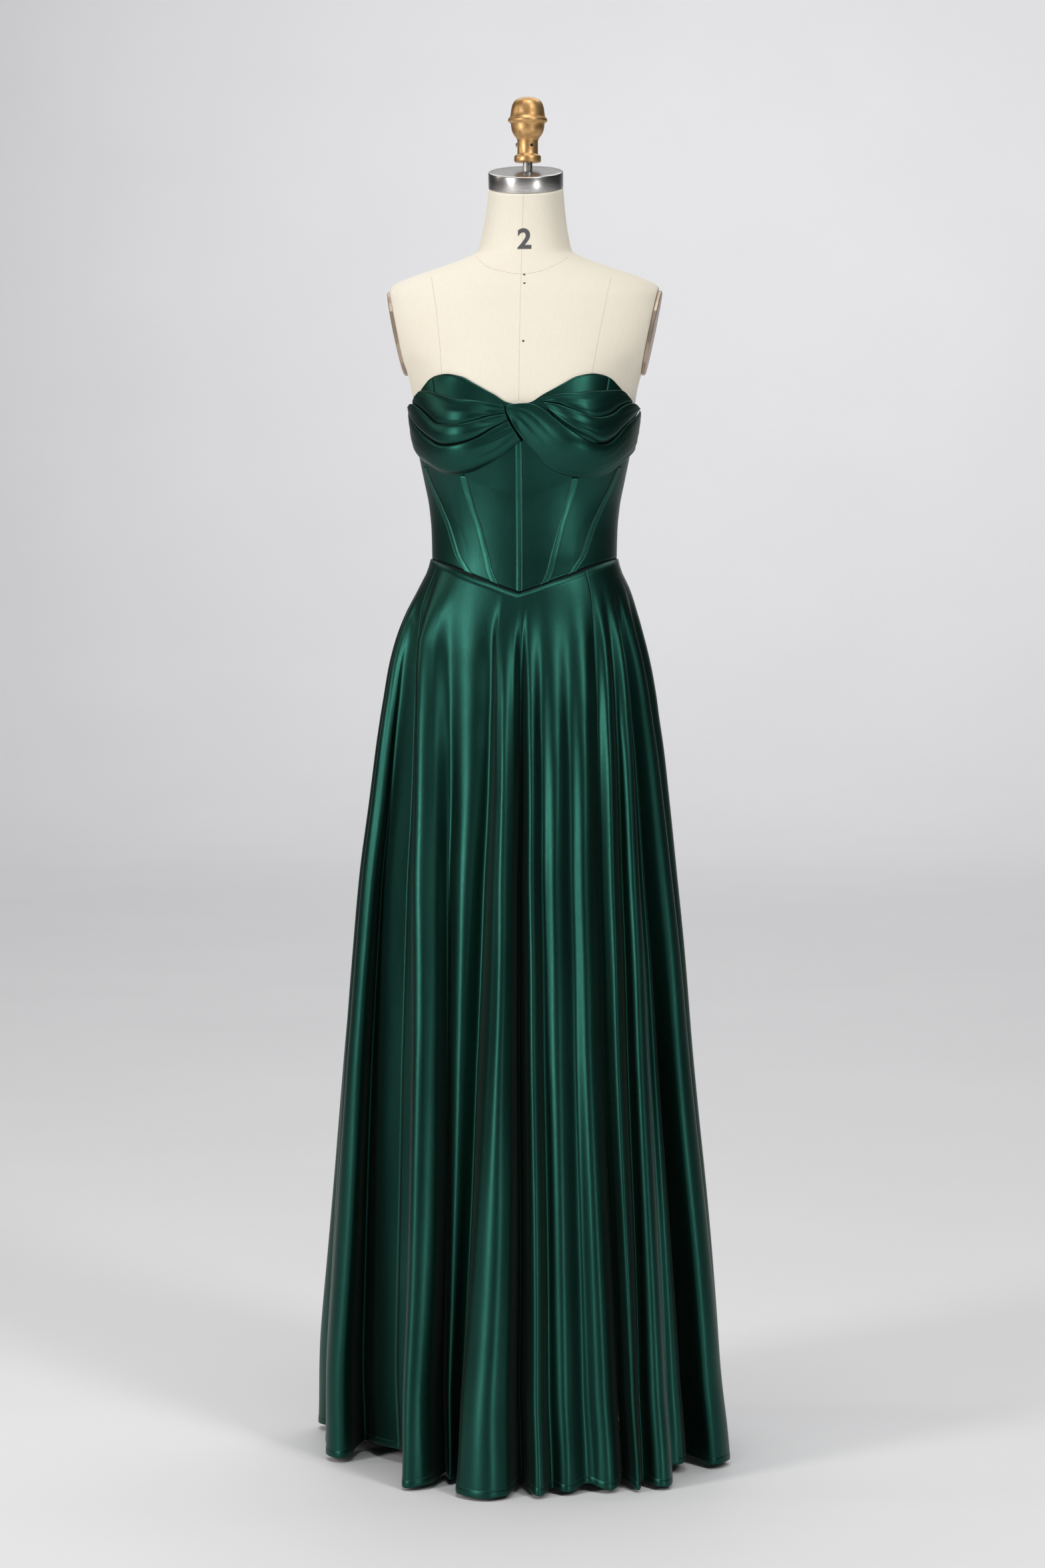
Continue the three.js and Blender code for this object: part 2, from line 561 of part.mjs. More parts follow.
// one row a ridge or valley, around from the viewer's left over the front:
// [turn at the hip, turn halfway down, turn at the hem, reach at the hem, fullness, height of the hem]
const FOLDS = [
  [-102, -103.3, -104.5, 226, 0, 12], [-91, -93.8, -96.5, 259, 0.1, 7], [-82, -84.3, -86.5, 234, 0, 10],
  [-75, -77.3, -79.5, 252, 0.06, 7], [-72, -72.5, -73, 240, 0.05, 6], [-70, -72.5, -75, 222, 0, 9],
  [-68, -79, -90, 203, 0, 14], [-65, -71, -79, 186, 0, 17], [-61, -60, -66, 168, 0, 18],
  [-56, -45.5, -45, 156, 0, 15], [-52.5, -38, -36, 236, 0.15, 6], [-47, -32, -30.5, 262, 0.02, 4],
  [-40, -27, -26, 238, 0, 7], [-31.5, -27, -28, 188, 0, 11],
  [-19.5, -19.5, -23.2, 206, 0.05, 7], [-10, -12.7, -22, 182, 0, 11], [-6, -5.3, -14, 268, 0, 5],
  [-3, -1.8, -6.5, 282, 0.02, 4], [0, 1.3, -0.8, 266, 0, 5], [2.8, 4.4, 3, 206, 0, 10],
  [6, 8.5, 7.8, 267, 0.06, 5], [11.5, 13, 12.5, 238, 0, 8], [17, 17.5, 16.5, 253, 0.03, 5],
  [24, 24, 23.5, 236, 0, 11], [31, 28.5, 29, 256, 0.04, 5], [39, 36, 36.3, 230, 0, 11],
  [43.5, 38, 36, 268, 0.05, 4], [48.5, 45, 41.5, 242, 0, 8], [53.5, 47, 44, 276, 0.06, 5],
  [58.5, 60, 59, 216, 0, 12], [60.5, 63, 65, 227, 0.03, 12], [62.5, 70, 79, 205, 0, 13],
  [65.5, 69, 72.5, 250, 0.05, 6], [70.5, 74.5, 80.5, 265, 0.05, 7], [79, 85, 91, 220, 0, 12],
  [92, 96.5, 101, 262, 0.1, 8], [105, 107.5, 110, 222, 0, 12], [118, 118.5, 119, 284, 0.1, 8],
  [128, 128, 128, 232, 0, 12], [138, 138, 138, 306, 0.1, 8], [148, 148, 148, 248, 0, 12],
  [157, 157, 157, 322, 0.1, 8], [166, 166, 166, 256, 0, 12], [173, 173, 173, 312, 0.08, 9],
  [180, 180, 180, 262, 0, 12], [187, 187, 187, 312, 0.08, 9], [194, 194, 194, 256, 0, 12],
  [203, 203, 203, 322, 0.1, 8], [212, 212, 212, 250, 0, 12], [222, 222, 222, 316, 0.1, 8],
  [233, 233.5, 234, 250, 0, 12], [244, 245, 246, 318, 0.1, 8], [258, 256.7, 255.5, 226, 0, 12],
];
// panels between valleys of the table above: [name, first row, last row, columns a fold side]
const SKIRT_PANELS = [
  ['skirt_side_left', 0, 8, 3], ['skirt_front', 8, 25, 3], ['skirt_side_right', 25, 34, 3],
  ['skirt_back_right', 34, 44, 3], ['skirt_back_left', 44, 52, 3],
];
const HIP = 1036;
const FOLD_SETTLE = 0.8;       // how early the folds swing from their hip turn to their hem turn
const FULLNESS = 8;            // how far a fold's fullness swings its flanks upright
const LEAST_SWING = 2;         // degrees a row by which every ridge and valley goes around
const SKIRT_ROWS = 9;
const HEM_OVAL = [258, 267, 325, 2];

// a row of the table, which goes on around the skirt
function foldRow(k) {
  const count = FOLDS.length - 1;
  const lap = k < 0 ? -1 : Math.floor(Math.min(k, 2 * count - 1) / (count + 1));
  const row = FOLDS[k - lap * count];
  return [row[0] + 360 * lap, row[1] + 360 * lap, row[2] + 360 * lap, ...row.slice(3)];
}

// the turn of a row at a height, from the hip through the middle to the hem
function rowTurn(k, height) {
  const s = clamp((HIP - height) / HIP, 0, 1) ** FOLD_SETTLE;
  const [hip, middle, hem] = foldRow(k);
  return hip * (1 - s) * (1 - 2 * s) + middle * 4 * s * (1 - s) + hem * s * (2 * s - 1);
}

// a curve between two values with its slope at both ends
function hermite(a, b, slopeA, slopeB, t) {
  return mix(a, b, t * t * (3 - 2 * t)) + t * (1 - t) * ((1 - t) * slopeA - t * slopeB);
}

const reachSteps = (k) => [foldRow(k)[3] - foldRow(k - 1)[3], foldRow(k + 1)[3] - foldRow(k)[3]];

function reachSlope(k) {
  const [before, after] = reachSteps(k);
  return before * after <= 0 ? 0 : 2 * before * after / (before + after);
}

function turnSlope(k, height) {
  const [before, after] = reachSteps(k);
  const slope = (rowTurn(k + 1, height) - rowTurn(k - 1, height)) / 2;
  return before * after > 0 ? slope : Math.max(slope, LEAST_SWING) * (1 + FULLNESS * foldRow(k)[4]);
}

function foldTurn(fold, height) {
  const row = clamp(Math.floor(fold), 0, FOLDS.length - 2);
  return hermite(rowTurn(row, height), rowTurn(row + 1, height), turnSlope(row, height),
    turnSlope(row + 1, height), fold - row);
}

// the folded skirt's own skin: fold is a place in the table, such as 3.25
const foldWaist = (fold) => waist(((foldTurn(fold, HIP) + 540) % 360) - 180);

// share of the folds' depth, which starts at the waist
function settled(fold, height) {
  const t = clamp((foldWaist(fold) - height) / FOLD_START, 0, 1);
  return t * t * (3 - 2 * t);
}

function skirtSkin(fold, height) {
  const row = clamp(Math.floor(fold), 0, FOLDS.length - 2);
  const share = fold - row;
  const turn = foldTurn(fold, height);
  const reach = hermite(FOLDS[row][3], FOLDS[row + 1][3], reachSlope(row), reachSlope(row + 1), share);
  const [hemX, hemY] = ovalPoint(mix(FOLDS[row][2], FOLDS[row + 1][2], share), ...HEM_OVAL);
  const swing = along(FOLD_DEPTH, height, 1) * settled(fold, height);
  const depth = 1 + swing * (reach / Math.hypot(hemX, hemY) - 1);
  const [half, front, back, round, shift] = [1, 2, 3, 4, 5].map((k) => along(SKIRT_SECTIONS, height, k));
  const [x, ahead] = ovalPoint(turn, half, front, back, round);
  return new THREE.Vector3(x * depth + shift, -ahead * depth, height);
}

function hemHeight(fold) {
  const row = clamp(Math.floor(fold), 0, FOLDS.length - 2);
  return mix(FOLDS[row][5], FOLDS[row + 1][5], (1 - Math.cos(Math.PI * (fold - row))) / 2);
}

const skirtTop = (fold) => foldWaist(fold) - SEAM_HALF;

// rows get closer towards the waist, where the outline bends
const rowShare = (j) => (j / SKIRT_ROWS) ** 0.62;

// the place in the fold table that lies a given distance beside another
function besideFold(fold, height, distance) {
  const start = skirtSkin(fold, height);
  let [near, far] = [0, 0.4];
  for (let i = 0; i < 24; i += 1) {
    const middle = (near + far) / 2;
    const there = skirtSkin(fold + Math.sign(distance) * middle, height);
    if (there.distanceTo(start) < Math.abs(distance)) near = middle;
    else far = middle;
  }
  return fold + Math.sign(distance) * near;
}

function skirtPanel(name, first, last, columns) {
  const outer = [];
  const inner = [];
  const count = (last - first) * columns;
  for (let i = 0; i <= count; i += 1) {
    const outerLine = [];
    const innerLine = [];
    for (let j = 0; j <= SKIRT_ROWS; j += 1) {
      let fold = first + i / columns;
      const height = mix(hemHeight(fold), skirtTop(fold), rowShare(j));
      if (i === 0) fold = besideFold(fold, height, SEAM_HALF);
      if (i === count) fold = besideFold(fold, height, -SEAM_HALF);
      const point = skirtSkin(fold, height);
      outerLine.push(point);
      innerLine.push(outOf(skirtSkin, fold, height, -SKIRT_WALL, 0.04));
    }
    outer.push(outerLine);
    inner.push(innerLine);
  }
  put(dress, name, wallOf(outer, inner), SATIN, true);
}
SKIRT_PANELS.forEach((panel) => skirtPanel(...panel));

// dress form
// the neck leans forward and ends in a sloping top
function leaned(point) {
  const rise = clamp((point.z - NECK.bendFrom) / (NECK.top - NECK.bendFrom), 0, 1);
  const slope = NECK.tilt * rise;
  return new THREE.Vector3(point.x + NECK.aside * rise, point.y - NECK.lean * rise * rise,
    point.z + slope * point.y);
}

const FORM_SIDES = 32;
const formRings = FORM_SECTIONS.map(([height]) => Array.from({ length: FORM_SIDES }, (_, i) => {
  const turn = 360 * i / FORM_SIDES;
  return leaned(skin(turn > 180 ? turn - 360 : turn, height));
}));
const bustHeights = [1254, 1288, 1322];
bustHeights.forEach((height) => {
  const ring = Array.from({ length: FORM_SIDES }, (_, i) => {
    const turn = 360 * i / FORM_SIDES;
    return skin(turn > 180 ? turn - 360 : turn, height);
  });
  formRings.push(ring);
});
formRings.sort((a, b) => a[0].z - b[0].z);
let formSolid = toManifold(loft(formRings));

// the flat cut at each armhole and the plate on it
const armLean = Math.atan2(ARM_TOP.half - ARM_LOW.half, ARM_TOP.height - ARM_LOW.height);
const armHalfAt = (height) => ARM_LOW.half + (height - ARM_LOW.height) * Math.tan(armLean);
for (const [side, hand] of [[-1, 'left'], [1, 'right']]) {
  const facing = new THREE.Vector3(side * Math.cos(armLean), 0, -Math.sin(armLean));
  const upward = new THREE.Vector3(side * Math.sin(armLean), 0, Math.cos(armLean));
  const centre = new THREE.Vector3(side * armHalfAt(PLATE.height), PLATE.back, PLATE.height);
  const onPlane = (across, up, out) => centre.clone()
    .add(new THREE.Vector3(0, across, 0)).addScaledVector(upward, up).addScaledVector(facing, out);
  const cutter = [0, 60].map((out) => [[-90, -78], [90, -78], [90, 90], [-90, 90]]
    .map(([across, up]) => onPlane(across, up, out)));
  formSolid = formSolid.subtract(toManifold(loft(cutter)));
  const sides = 24;
  const ring = (scale, out) => Array.from({ length: sides }, (_, i) => {
    const angle = 2 * Math.PI * i / sides;
    return onPlane(scale * PLATE.halfDeep * Math.cos(angle), scale * PLATE.halfHigh * Math.sin(angle), out);
  });
  const plate = loft([ring(0.97, 0.2), ring(1, 1), ring(1, PLATE.thick - 1.2), ring(0.96, PLATE.thick)]);
  put(stand, `arm_plate_${hand}`, plate, PLATE_METAL);
}
put(stand, 'form_body', fromManifold(formSolid), LINEN);

// neck cap: a low disc that follows the sloping neck top
const neckTop = (point, lift) => new THREE.Vector3(point.x + NECK.aside, point.y * Math.cos(Math.atan(NECK.tilt))
  - NECK.lean - lift * Math.sin(Math.atan(NECK.tilt)), NECK.top + point.y * Math.sin(Math.atan(NECK.tilt))
  + lift * Math.cos(Math.atan(NECK.tilt)));
const capRows = [
  [CAP.radius - 0.8, 0.3], [CAP.radius, 1.1], [CAP.radius, CAP.high - CAP.edge],
  [CAP.radius - 0.5, CAP.high - 0.5], [CAP.radius - CAP.edge, CAP.high], [12, CAP.high + 0.4],
];
put(stand, 'neck_cap', turned(capRows, 32, (point) => neckTop(point, point.z)), STEEL);

// knob: rod, disc, neck, bowl, ring and dome, upright on the cap
const capTop = NECK.top + CAP.high * Math.cos(Math.atan(NECK.tilt));
const knobY = -NECK.lean - CAP.high * Math.sin(Math.atan(NECK.tilt));
const KNOB_ASIDE = 5;
const onCap = (point) => {
  const foot = point.z < capTop + 4 ? NECK.tilt * point.y : 0;
  return new THREE.Vector3(point.x + KNOB_ASIDE, point.y + knobY, point.z + foot);
};
const rodRows = [[ROD_RADIUS, capTop + 0.9], [ROD_RADIUS, capTop + 5], [ROD_RADIUS, 1632]];
put(stand, 'knob_rod', turned(rodRows, 20, onCap), STEEL);
const knobRows = [
  [15.5, 1632.2], [17, 1633.4], [17, 1640.6], [15.8, 1642], [13, 1642.6], [13, 1659], [13.9, 1661.4],
  [17.4, 1665.5], [20.2, 1672], [21.5, 1681.4], [24.4, 1682.8], [24.7, 1686], [21.2, 1687.6],
  [20.8, 1696], [18.8, 1705.4], [14.5, 1710.6], [6, 1713],
];
const lift = (point) => new THREE.Vector3(point.x + KNOB_ASIDE, point.y + knobY, point.z);
let knob = toManifold(turned(knobRows, 24, lift));
const SCREW = { radius: 2.6, height: 1654, deep: 6, proud: 1.9 };
function crossPin(radius, from, to, turn, height) {
  const rings = [from, to].map((reach) => Array.from({ length: 12 }, (_, i) => {
    const angle = 2 * Math.PI * i / 12;
    const away = new THREE.Vector3(Math.sin(rad(turn)), -Math.cos(rad(turn)), 0);
    const aside = new THREE.Vector3(Math.cos(rad(turn)), Math.sin(rad(turn)), 0);
    return new THREE.Vector3(KNOB_ASIDE, knobY, height).addScaledVector(away, reach)
      .addScaledVector(aside, radius * Math.cos(angle)).add(new THREE.Vector3(0, 0, radius * Math.sin(angle)));
  }));
  return loft(rings);
}
knob = knob.subtract(toManifold(crossPin(2.2, 7, 20, 27, 1653)));
knob = knob.subtract(toManifold(crossPin(SCREW.radius, 13 - SCREW.deep, 20, -90, SCREW.height)));
put(stand, 'knob', fromManifold(knob), GOLD);
const screw = crossPin(SCREW.radius - 0.15, 13.2 - SCREW.deep, 13 + SCREW.proud, -90, SCREW.height);
put(stand, 'knob_screw', screw, STEEL);

// pole and foot
const poleRows = [[POLE_RADIUS, FOOT.bossHigh + 0.2], [POLE_RADIUS, FORM_BOTTOM - 0.2]];
put(stand, 'stand_pole', turned(poleRows, 24), STEEL);
const footRows = [
  [FOOT.radius - 3, 0], [FOOT.radius, 3], [FOOT.radius, FOOT.high - 4], [FOOT.radius - 5, FOOT.high - 1],
  [FOOT.boss + 8, FOOT.high + 3], [FOOT.boss, FOOT.bossHigh - 3], [FOOT.boss - 3, FOOT.bossHigh],
];
put(stand, 'stand_foot', turned(footRows, 36), IRON);

export default model;
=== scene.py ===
"""A strapless satin gown on a limbless linen dress form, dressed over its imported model.

Sizes are in millimetres and turned to metres where a mesh is made. Z is up and the front faces -Y.
A turn is in degrees around the form: 0 faces the viewer and 90 is the viewer's right.
"""
import math

import bmesh
import bpy
import numpy as np
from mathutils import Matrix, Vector


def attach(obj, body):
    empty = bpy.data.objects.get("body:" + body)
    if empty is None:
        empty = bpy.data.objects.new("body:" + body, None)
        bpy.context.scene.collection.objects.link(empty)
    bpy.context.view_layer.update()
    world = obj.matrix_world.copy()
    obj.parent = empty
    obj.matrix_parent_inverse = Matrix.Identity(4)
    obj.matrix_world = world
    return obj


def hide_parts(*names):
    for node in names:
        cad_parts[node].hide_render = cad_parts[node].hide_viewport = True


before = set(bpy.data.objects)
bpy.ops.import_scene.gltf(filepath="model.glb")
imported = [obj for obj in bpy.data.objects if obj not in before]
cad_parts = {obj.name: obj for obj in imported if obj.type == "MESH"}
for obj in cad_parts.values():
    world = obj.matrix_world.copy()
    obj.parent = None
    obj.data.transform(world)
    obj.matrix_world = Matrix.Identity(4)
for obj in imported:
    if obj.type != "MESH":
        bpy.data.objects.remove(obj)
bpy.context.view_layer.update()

MM = 0.001
ROOT = "gown_on_form"
SIDES = ((-1, "left"), (1, "right"))

# cloth sizes
BODY_GAP = 1.5
BODICE_WALL = 1.5
BODICE_OUT = BODY_GAP + BODICE_WALL
CHANNEL_WALL = 1.2
STRIP_GAP = 0.3
DRAPE_WALL = 1.1
DRAPE_GAP = 0.9
LAYER_STEP = 1.75
TUCK = 7.0
FOLD_REACH = 0.8
DRAPE_SWELL = 2.0
WRAP_SWELL = 2.6
CREASE = 0.85
SKIRT_WALL = 1.1
SEAM_HALF = 0.03
DRAPE_BASE = BODICE_OUT + DRAPE_GAP + DRAPE_WALL / 2

# the form and its stand
BUST = {"side": 80, "height": 1288, "out": 21, "wide": 44, "above": 62, "below": 46}
NECK = {"top": 1601, "tilt": 0.242, "lean": 10, "aside": 2.5, "bend_from": 1510}
CAP = {"radius": 46.8, "high": 20.5, "edge": 1.6}
PLATE = {"half_high": 54, "half_deep": 37, "thick": 5.5, "height": 1421, "back": 3}
ARM_TOP = (169.5, 1482)
ARM_LOW = (146, 1368)
FORM_ROUND = 2.25

# height, half width, front depth, back depth
FORM_SECTIONS = np.array([
    [850, 132, 88, 102], [900, 142, 94, 113], [940, 144, 96, 116], [1000, 140, 96, 110],
    [1060, 131, 92, 98], [1100, 120, 88, 87], [1138, 113.2, 86, 81], [1170, 113.8, 88, 83],
    [1204, 116.8, 92, 89], [1237, 123.2, 96, 95], [1271, 130, 100, 100], [1305, 135.5, 102, 103],
    [1340, 140, 100, 105], [1370, 147, 96, 105], [1395, 163, 91, 104], [1420, 172, 86, 102],
    [1445, 176, 80, 98], [1466, 176, 74, 91], [1480, 166, 66, 83], [1492, 139, 61, 77],
    [1503, 106, 58, 72], [1513, 78, 55, 68], [1523, 59.5, 53, 65], [1536, 55.5, 50, 58],
    [1560, 51, 48, 52], [1580, 48.5, 47.2, 48.5], [1601, 46.4, 46.4, 46.4],
], float)
# turn, height
TOP_EDGE = np.array([
    [0, 1328], [5, 1331.5], [10, 1340], [15, 1347], [20, 1354], [27, 1363], [36, 1366.5], [42, 1365],
    [48, 1361], [55, 1352.5], [62, 1344], [70, 1336], [78, 1330], [90, 1326], [120, 1323], [180, 1320],
], float)
WAIST = np.array([
    [0, 1096], [8, 1103], [15, 1109], [25, 1116], [36, 1123], [45, 1128], [54, 1131.5], [63, 1134.5],
    [76, 1137], [90, 1138], [180, 1138],
], float)
# height, turn of the inner seam, turn of the outer seam
SEAMS = np.array([
    [1096, 9, 24], [1111, 13.5, 27], [1124, 16.5, 32], [1143, 19, 40], [1165, 22, 45],
    [1184, 24.5, 49.5], [1199, 27, 54], [1227, 30, 62], [1243, 31, 66], [1262, 32, 70],
], float)
UNDERBUST = 1262
UNDERBUST_RISE = 27
UNDERBUST_FLAT = 32
CUP_SEAM = 46
CUP_END = 70

# height, half width, front depth, back depth, roundness, shift to the viewer's right
SKIRT_SECTIONS = np.array([
    [-50, 261, 271, 330, 2, 0], [5, 259.5, 267, 325, 2, 0], [128, 253, 251, 310, 2, -4.5],
    [229, 245.5, 239, 294, 2, -5], [330, 237.5, 228, 278, 2, -6], [431, 229, 216, 262, 2, -7.5],
    [532, 220.5, 203, 246, 2, -8.5], [632, 212, 190, 228, 2.02, -8.5], [733, 202, 175, 208, 2.04, -9],
    [834, 190, 159, 188, 2.06, -7.5], [901, 182, 147, 173, 2.08, -7], [935, 177, 139, 164, 2.1, -7],
    [968, 172, 131, 154, 2.12, -6.5], [1002, 166, 121, 142, 2.15, -6.5], [1036, 157.5, 110, 128, 2.18, -6],
    [1069, 146.5, 101, 112, 2.2, -4], [1103, 132, 94.5, 98, 2.22, -0.5], [1125, 121.4, 91.5, 89, 2.25, 0],
    [1140, 117.8, 91, 86, 2.25, 0],
], float)
# height, share of the depth at the hem
FOLD_DEPTH = np.array([
    [5, 1], [200, 0.92], [430, 0.82], [700, 0.7], [850, 0.6], [960, 0.48], [1030, 0.34], [1070, 0.22],
    [1100, 0.1], [1130, 0], [1140, 0],
], float)
# turn at the hip, halfway down and at the hem, reach at the hem, fullness, height of the hem
FOLDS = np.array([
    [-102, -103.3, -104.5, 226, 0, 12], [-91, -93.8, -96.5, 259, 0.1, 7],
    [-82, -84.3, -86.5, 234, 0, 10], [-75, -77.3, -79.5, 252, 0.06, 7], [-72, -72.5, -73, 240, 0.05, 6],
    [-70, -72.5, -75, 222, 0, 9], [-68, -79, -90, 203, 0, 14], [-65, -71, -79, 186, 0, 17],
    [-61, -60, -66, 168, 0, 18], [-56, -45.5, -45, 156, 0, 15], [-52.5, -38, -36, 236, 0.15, 6],
    [-47, -32, -30.5, 262, 0.02, 4], [-40, -27, -26, 238, 0, 7],
    [-31.5, -27, -28, 188, 0, 11], [-19.5, -19.5, -23.2, 206, 0.05, 7], [-10, -12.7, -22, 182, 0, 11],
    [-6, -5.3, -14, 268, 0, 5], [-3, -1.8, -6.5, 282, 0.02, 4], [0, 1.3, -0.8, 266, 0, 5],
    [2.8, 4.4, 3, 206, 0, 10], [6, 8.5, 7.8, 267, 0.06, 5], [11.5, 13, 12.5, 238, 0, 8],
    [17, 17.5, 16.5, 253, 0.03, 5], [24, 24, 23.5, 236, 0, 11], [31, 28.5, 29, 256, 0.04, 5],
    [39, 36, 36.3, 230, 0, 11], [43.5, 38, 36, 268, 0.05, 4], [48.5, 45, 41.5, 242, 0, 8],
    [53.5, 47, 44, 276, 0.06, 5], [58.5, 60, 59, 216, 0, 12], [60.5, 63, 65, 227, 0.03, 12],
    [62.5, 70, 79, 205, 0, 13], [65.5, 69, 72.5, 250, 0.05, 6], [70.5, 74.5, 80.5, 265, 0.05, 7],
    [79, 85, 91, 220, 0, 12], [92, 96.5, 101, 262, 0.1, 8], [105, 107.5, 110, 222, 0, 12],
    [118, 118.5, 119, 284, 0.1, 8], [128, 128, 128, 232, 0, 12], [138, 138, 138, 306, 0.1, 8],
    [148, 148, 148, 248, 0, 12], [157, 157, 157, 322, 0.1, 8], [166, 166, 166, 256, 0, 12],
    [173, 173, 173, 312, 0.08, 9], [180, 180, 180, 262, 0, 12], [187, 187, 187, 312, 0.08, 9],
    [194, 194, 194, 256, 0, 12], [203, 203, 203, 322, 0.1, 8], [212, 212, 212, 250, 0, 12],
    [222, 222, 222, 316, 0.1, 8], [233, 233.5, 234, 250, 0, 12], [244, 245, 246, 318, 0.1, 8],
    [258, 256.7, 255.5, 226, 0, 12],
], float)
HIP = 1036
FOLD_START = 100
FOLD_SETTLE = 0.8
FULLNESS = 8
LEAST_SWING = 2
HEM_OVAL = (258, 267, 325, 2)


def mix(a, b, t):
    return a + (b - a) * t


def along(table, at, column):
    """One column of a table against its first, smooth between the rows and never past them."""
    keys, values = table[:, 0], table[:, column]
    rise = np.diff(values) / np.diff(keys)
    lean = np.empty(len(keys))
    lean[0], lean[-1] = rise[0], rise[-1]
    before, after = rise[:-1], rise[1:]
    turning = before * after <= 0
    lean[1:-1] = np.where(turning, 0, 2 * before * after / np.where(turning, 1, before + after))
    at = np.clip(np.asarray(at, float), keys[0], keys[-1])
    row = np.clip(np.searchsorted(keys, at, side="right") - 1, 0, len(keys) - 2)
    span = keys[row + 1] - keys[row]
    t = (at - keys[row]) / span
    bend = span * t * (1 - t) * ((1 - t) * lean[row] - t * lean[row + 1])
    return mix(values[row], values[row + 1], t * t * (3 - 2 * t)) + bend


def oval_point(turn, half, front, back, roundness):
    side, ahead = np.sin(np.radians(turn)), np.cos(np.radians(turn))
    power = 2 / np.asarray(roundness, float)
    depth = np.where(ahead > 0, front, back)
    return (half * np.sign(side) * np.abs(side) ** power,
            depth * np.sign(ahead) * np.abs(ahead) ** power)


def skin(turn, height):
    """A point of the form's skin."""
    turn, height = np.broadcast_arrays(np.asarray(turn, float), np.asarray(height, float))
    half, front, back = (along(FORM_SECTIONS, height, k) for k in (1, 2, 3))
    x, reach = oval_point(turn, half, front, back, FORM_ROUND)
    tall = np.where(height > BUST["height"], BUST["above"], BUST["below"])
    up = np.exp(-(((height - BUST["height"]) / tall) ** 2))
    across = np.exp(-(((np.abs(x) - BUST["side"]) / BUST["wide"]) ** 2))
    facing = np.minimum(1, 3 * np.cos(np.radians(turn)))
    swell = np.where(reach > 0, BUST["out"] * up * across * facing, 0)
    return np.stack([x, -(reach + swell), height], axis=-1)


def unit(vectors):
    return vectors / np.maximum(np.linalg.norm(vectors, axis=-1, keepdims=True), 1e-9)


def facing_of(surface, turn, height, step=0.6):
    across = surface(turn + step, height) - surface(turn - step, height)
    up = surface(turn, height + 2) - surface(turn, height - 2)
    return unit(np.cross(across, up))


def out_of(surface, turn, height, out, step=0.6):
    """Points that far out of a surface."""
    return surface(turn, height) + facing_of(surface, turn, height, step) * np.asarray(out)[..., None]


def beside(surface, turn, height, distance, reach=3.0):
    """The turn that lies a given distance beside another on a surface."""
    turn = np.asarray(turn, float) + np.zeros_like(np.asarray(height, float))
    start = surface(turn, height)
    near, far = np.zeros_like(turn), np.full_like(turn, reach)
    for _ in range(20):
        middle = (near + far) / 2
        gap = np.linalg.norm(surface(turn + np.sign(distance) * middle, height) - start, axis=-1)
        closer = gap < abs(distance)
        near, far = np.where(closer, middle, near), np.where(closer, far, middle)
    return turn + np.sign(distance) * near


def top_edge(turn):
    return along(TOP_EDGE, np.abs(turn), 1)


def waist(turn):
    return along(WAIST, np.abs(turn), 1)


def inner_seam(height):
    return along(SEAMS, height, 1)


def outer_seam(height):
    return np.where(height > UNDERBUST, CUP_END, along(SEAMS, height, 2))


def always(value):
    return lambda height: np.full_like(np.asarray(height, float), value)


def fold_column(k, column):
    """A column of the table, which goes on around the skirt."""
    count = len(FOLDS) - 1
    lap = np.where(k < 0, -1, np.where(k > count, 1, 0))
    return FOLDS[k - lap * count, column] + (360 * lap if column < 3 else 0)


def row_turn(k, height):
    s = np.clip((HIP - height) / HIP, 0, 1) ** FOLD_SETTLE
    hip, middle, hem = (fold_column(k, column) for column in range(3))
    return hip * (1 - s) * (1 - 2 * s) + middle * 4 * s * (1 - s) + hem * s * (2 * s - 1)


def hermite(a, b, slope_a, slope_b, t):
    return mix(a, b, t * t * (3 - 2 * t)) + t * (1 - t) * ((1 - t) * slope_a - t * slope_b)


def reach_steps(k):
    before, here, after = (fold_column(k + step, 3) for step in (-1, 0, 1))
    return here - before, after - here


def reach_slope(k):
    before, after = reach_steps(k)
    level = before * after <= 0
    return np.where(level, 0, 2 * before * after / np.where(level, 1, before + after))


def turn_slope(k, height):
    before, after = reach_steps(k)
    slope = (row_turn(k + 1, height) - row_turn(k - 1, height)) / 2
    swung = np.maximum(slope, LEAST_SWING) * (1 + FULLNESS * fold_column(k, 4))
    return np.where(before * after > 0, slope, swung)


def fold_row(fold):
    return np.clip(np.floor(fold).astype(int), 0, len(FOLDS) - 2)


def fold_turn(fold, height):
    row = fold_row(fold)
    return hermite(row_turn(row, height), row_turn(row + 1, height), turn_slope(row, height),
                   turn_slope(row + 1, height), fold - row)


def fold_waist(fold):
    return waist((fold_turn(fold, HIP) + 540) % 360 - 180)


def settled(fold, height):
    """Share of the folds' depth, which starts at the waist."""
    t = np.clip((fold_waist(fold) - height) / FOLD_START, 0, 1)
    return t * t * (3 - 2 * t)


def skirt_skin(fold, height):
    """The folded skirt's own skin. A fold is a place in FOLDS, such as 3.25."""
    fold, height = np.broadcast_arrays(np.asarray(fold, float), np.asarray(height, float))
    row = fold_row(fold)
    share = fold - row
    reach = hermite(FOLDS[row, 3], FOLDS[row + 1, 3], reach_slope(row), reach_slope(row + 1), share)
    hem_x, hem_y = oval_point(mix(FOLDS[row, 2], FOLDS[row + 1, 2], share), *HEM_OVAL)
    swing = along(FOLD_DEPTH, height, 1) * settled(fold, height)
    depth = 1 + swing * (reach / np.hypot(hem_x, hem_y) - 1)
    half, front, back, roundness, shift = (along(SKIRT_SECTIONS, height, k) for k in range(1, 6))
    x, ahead = oval_point(fold_turn(fold, height), half, front, back, roundness)
    return np.stack([x * depth + shift, -ahead * depth, height], axis=-1)


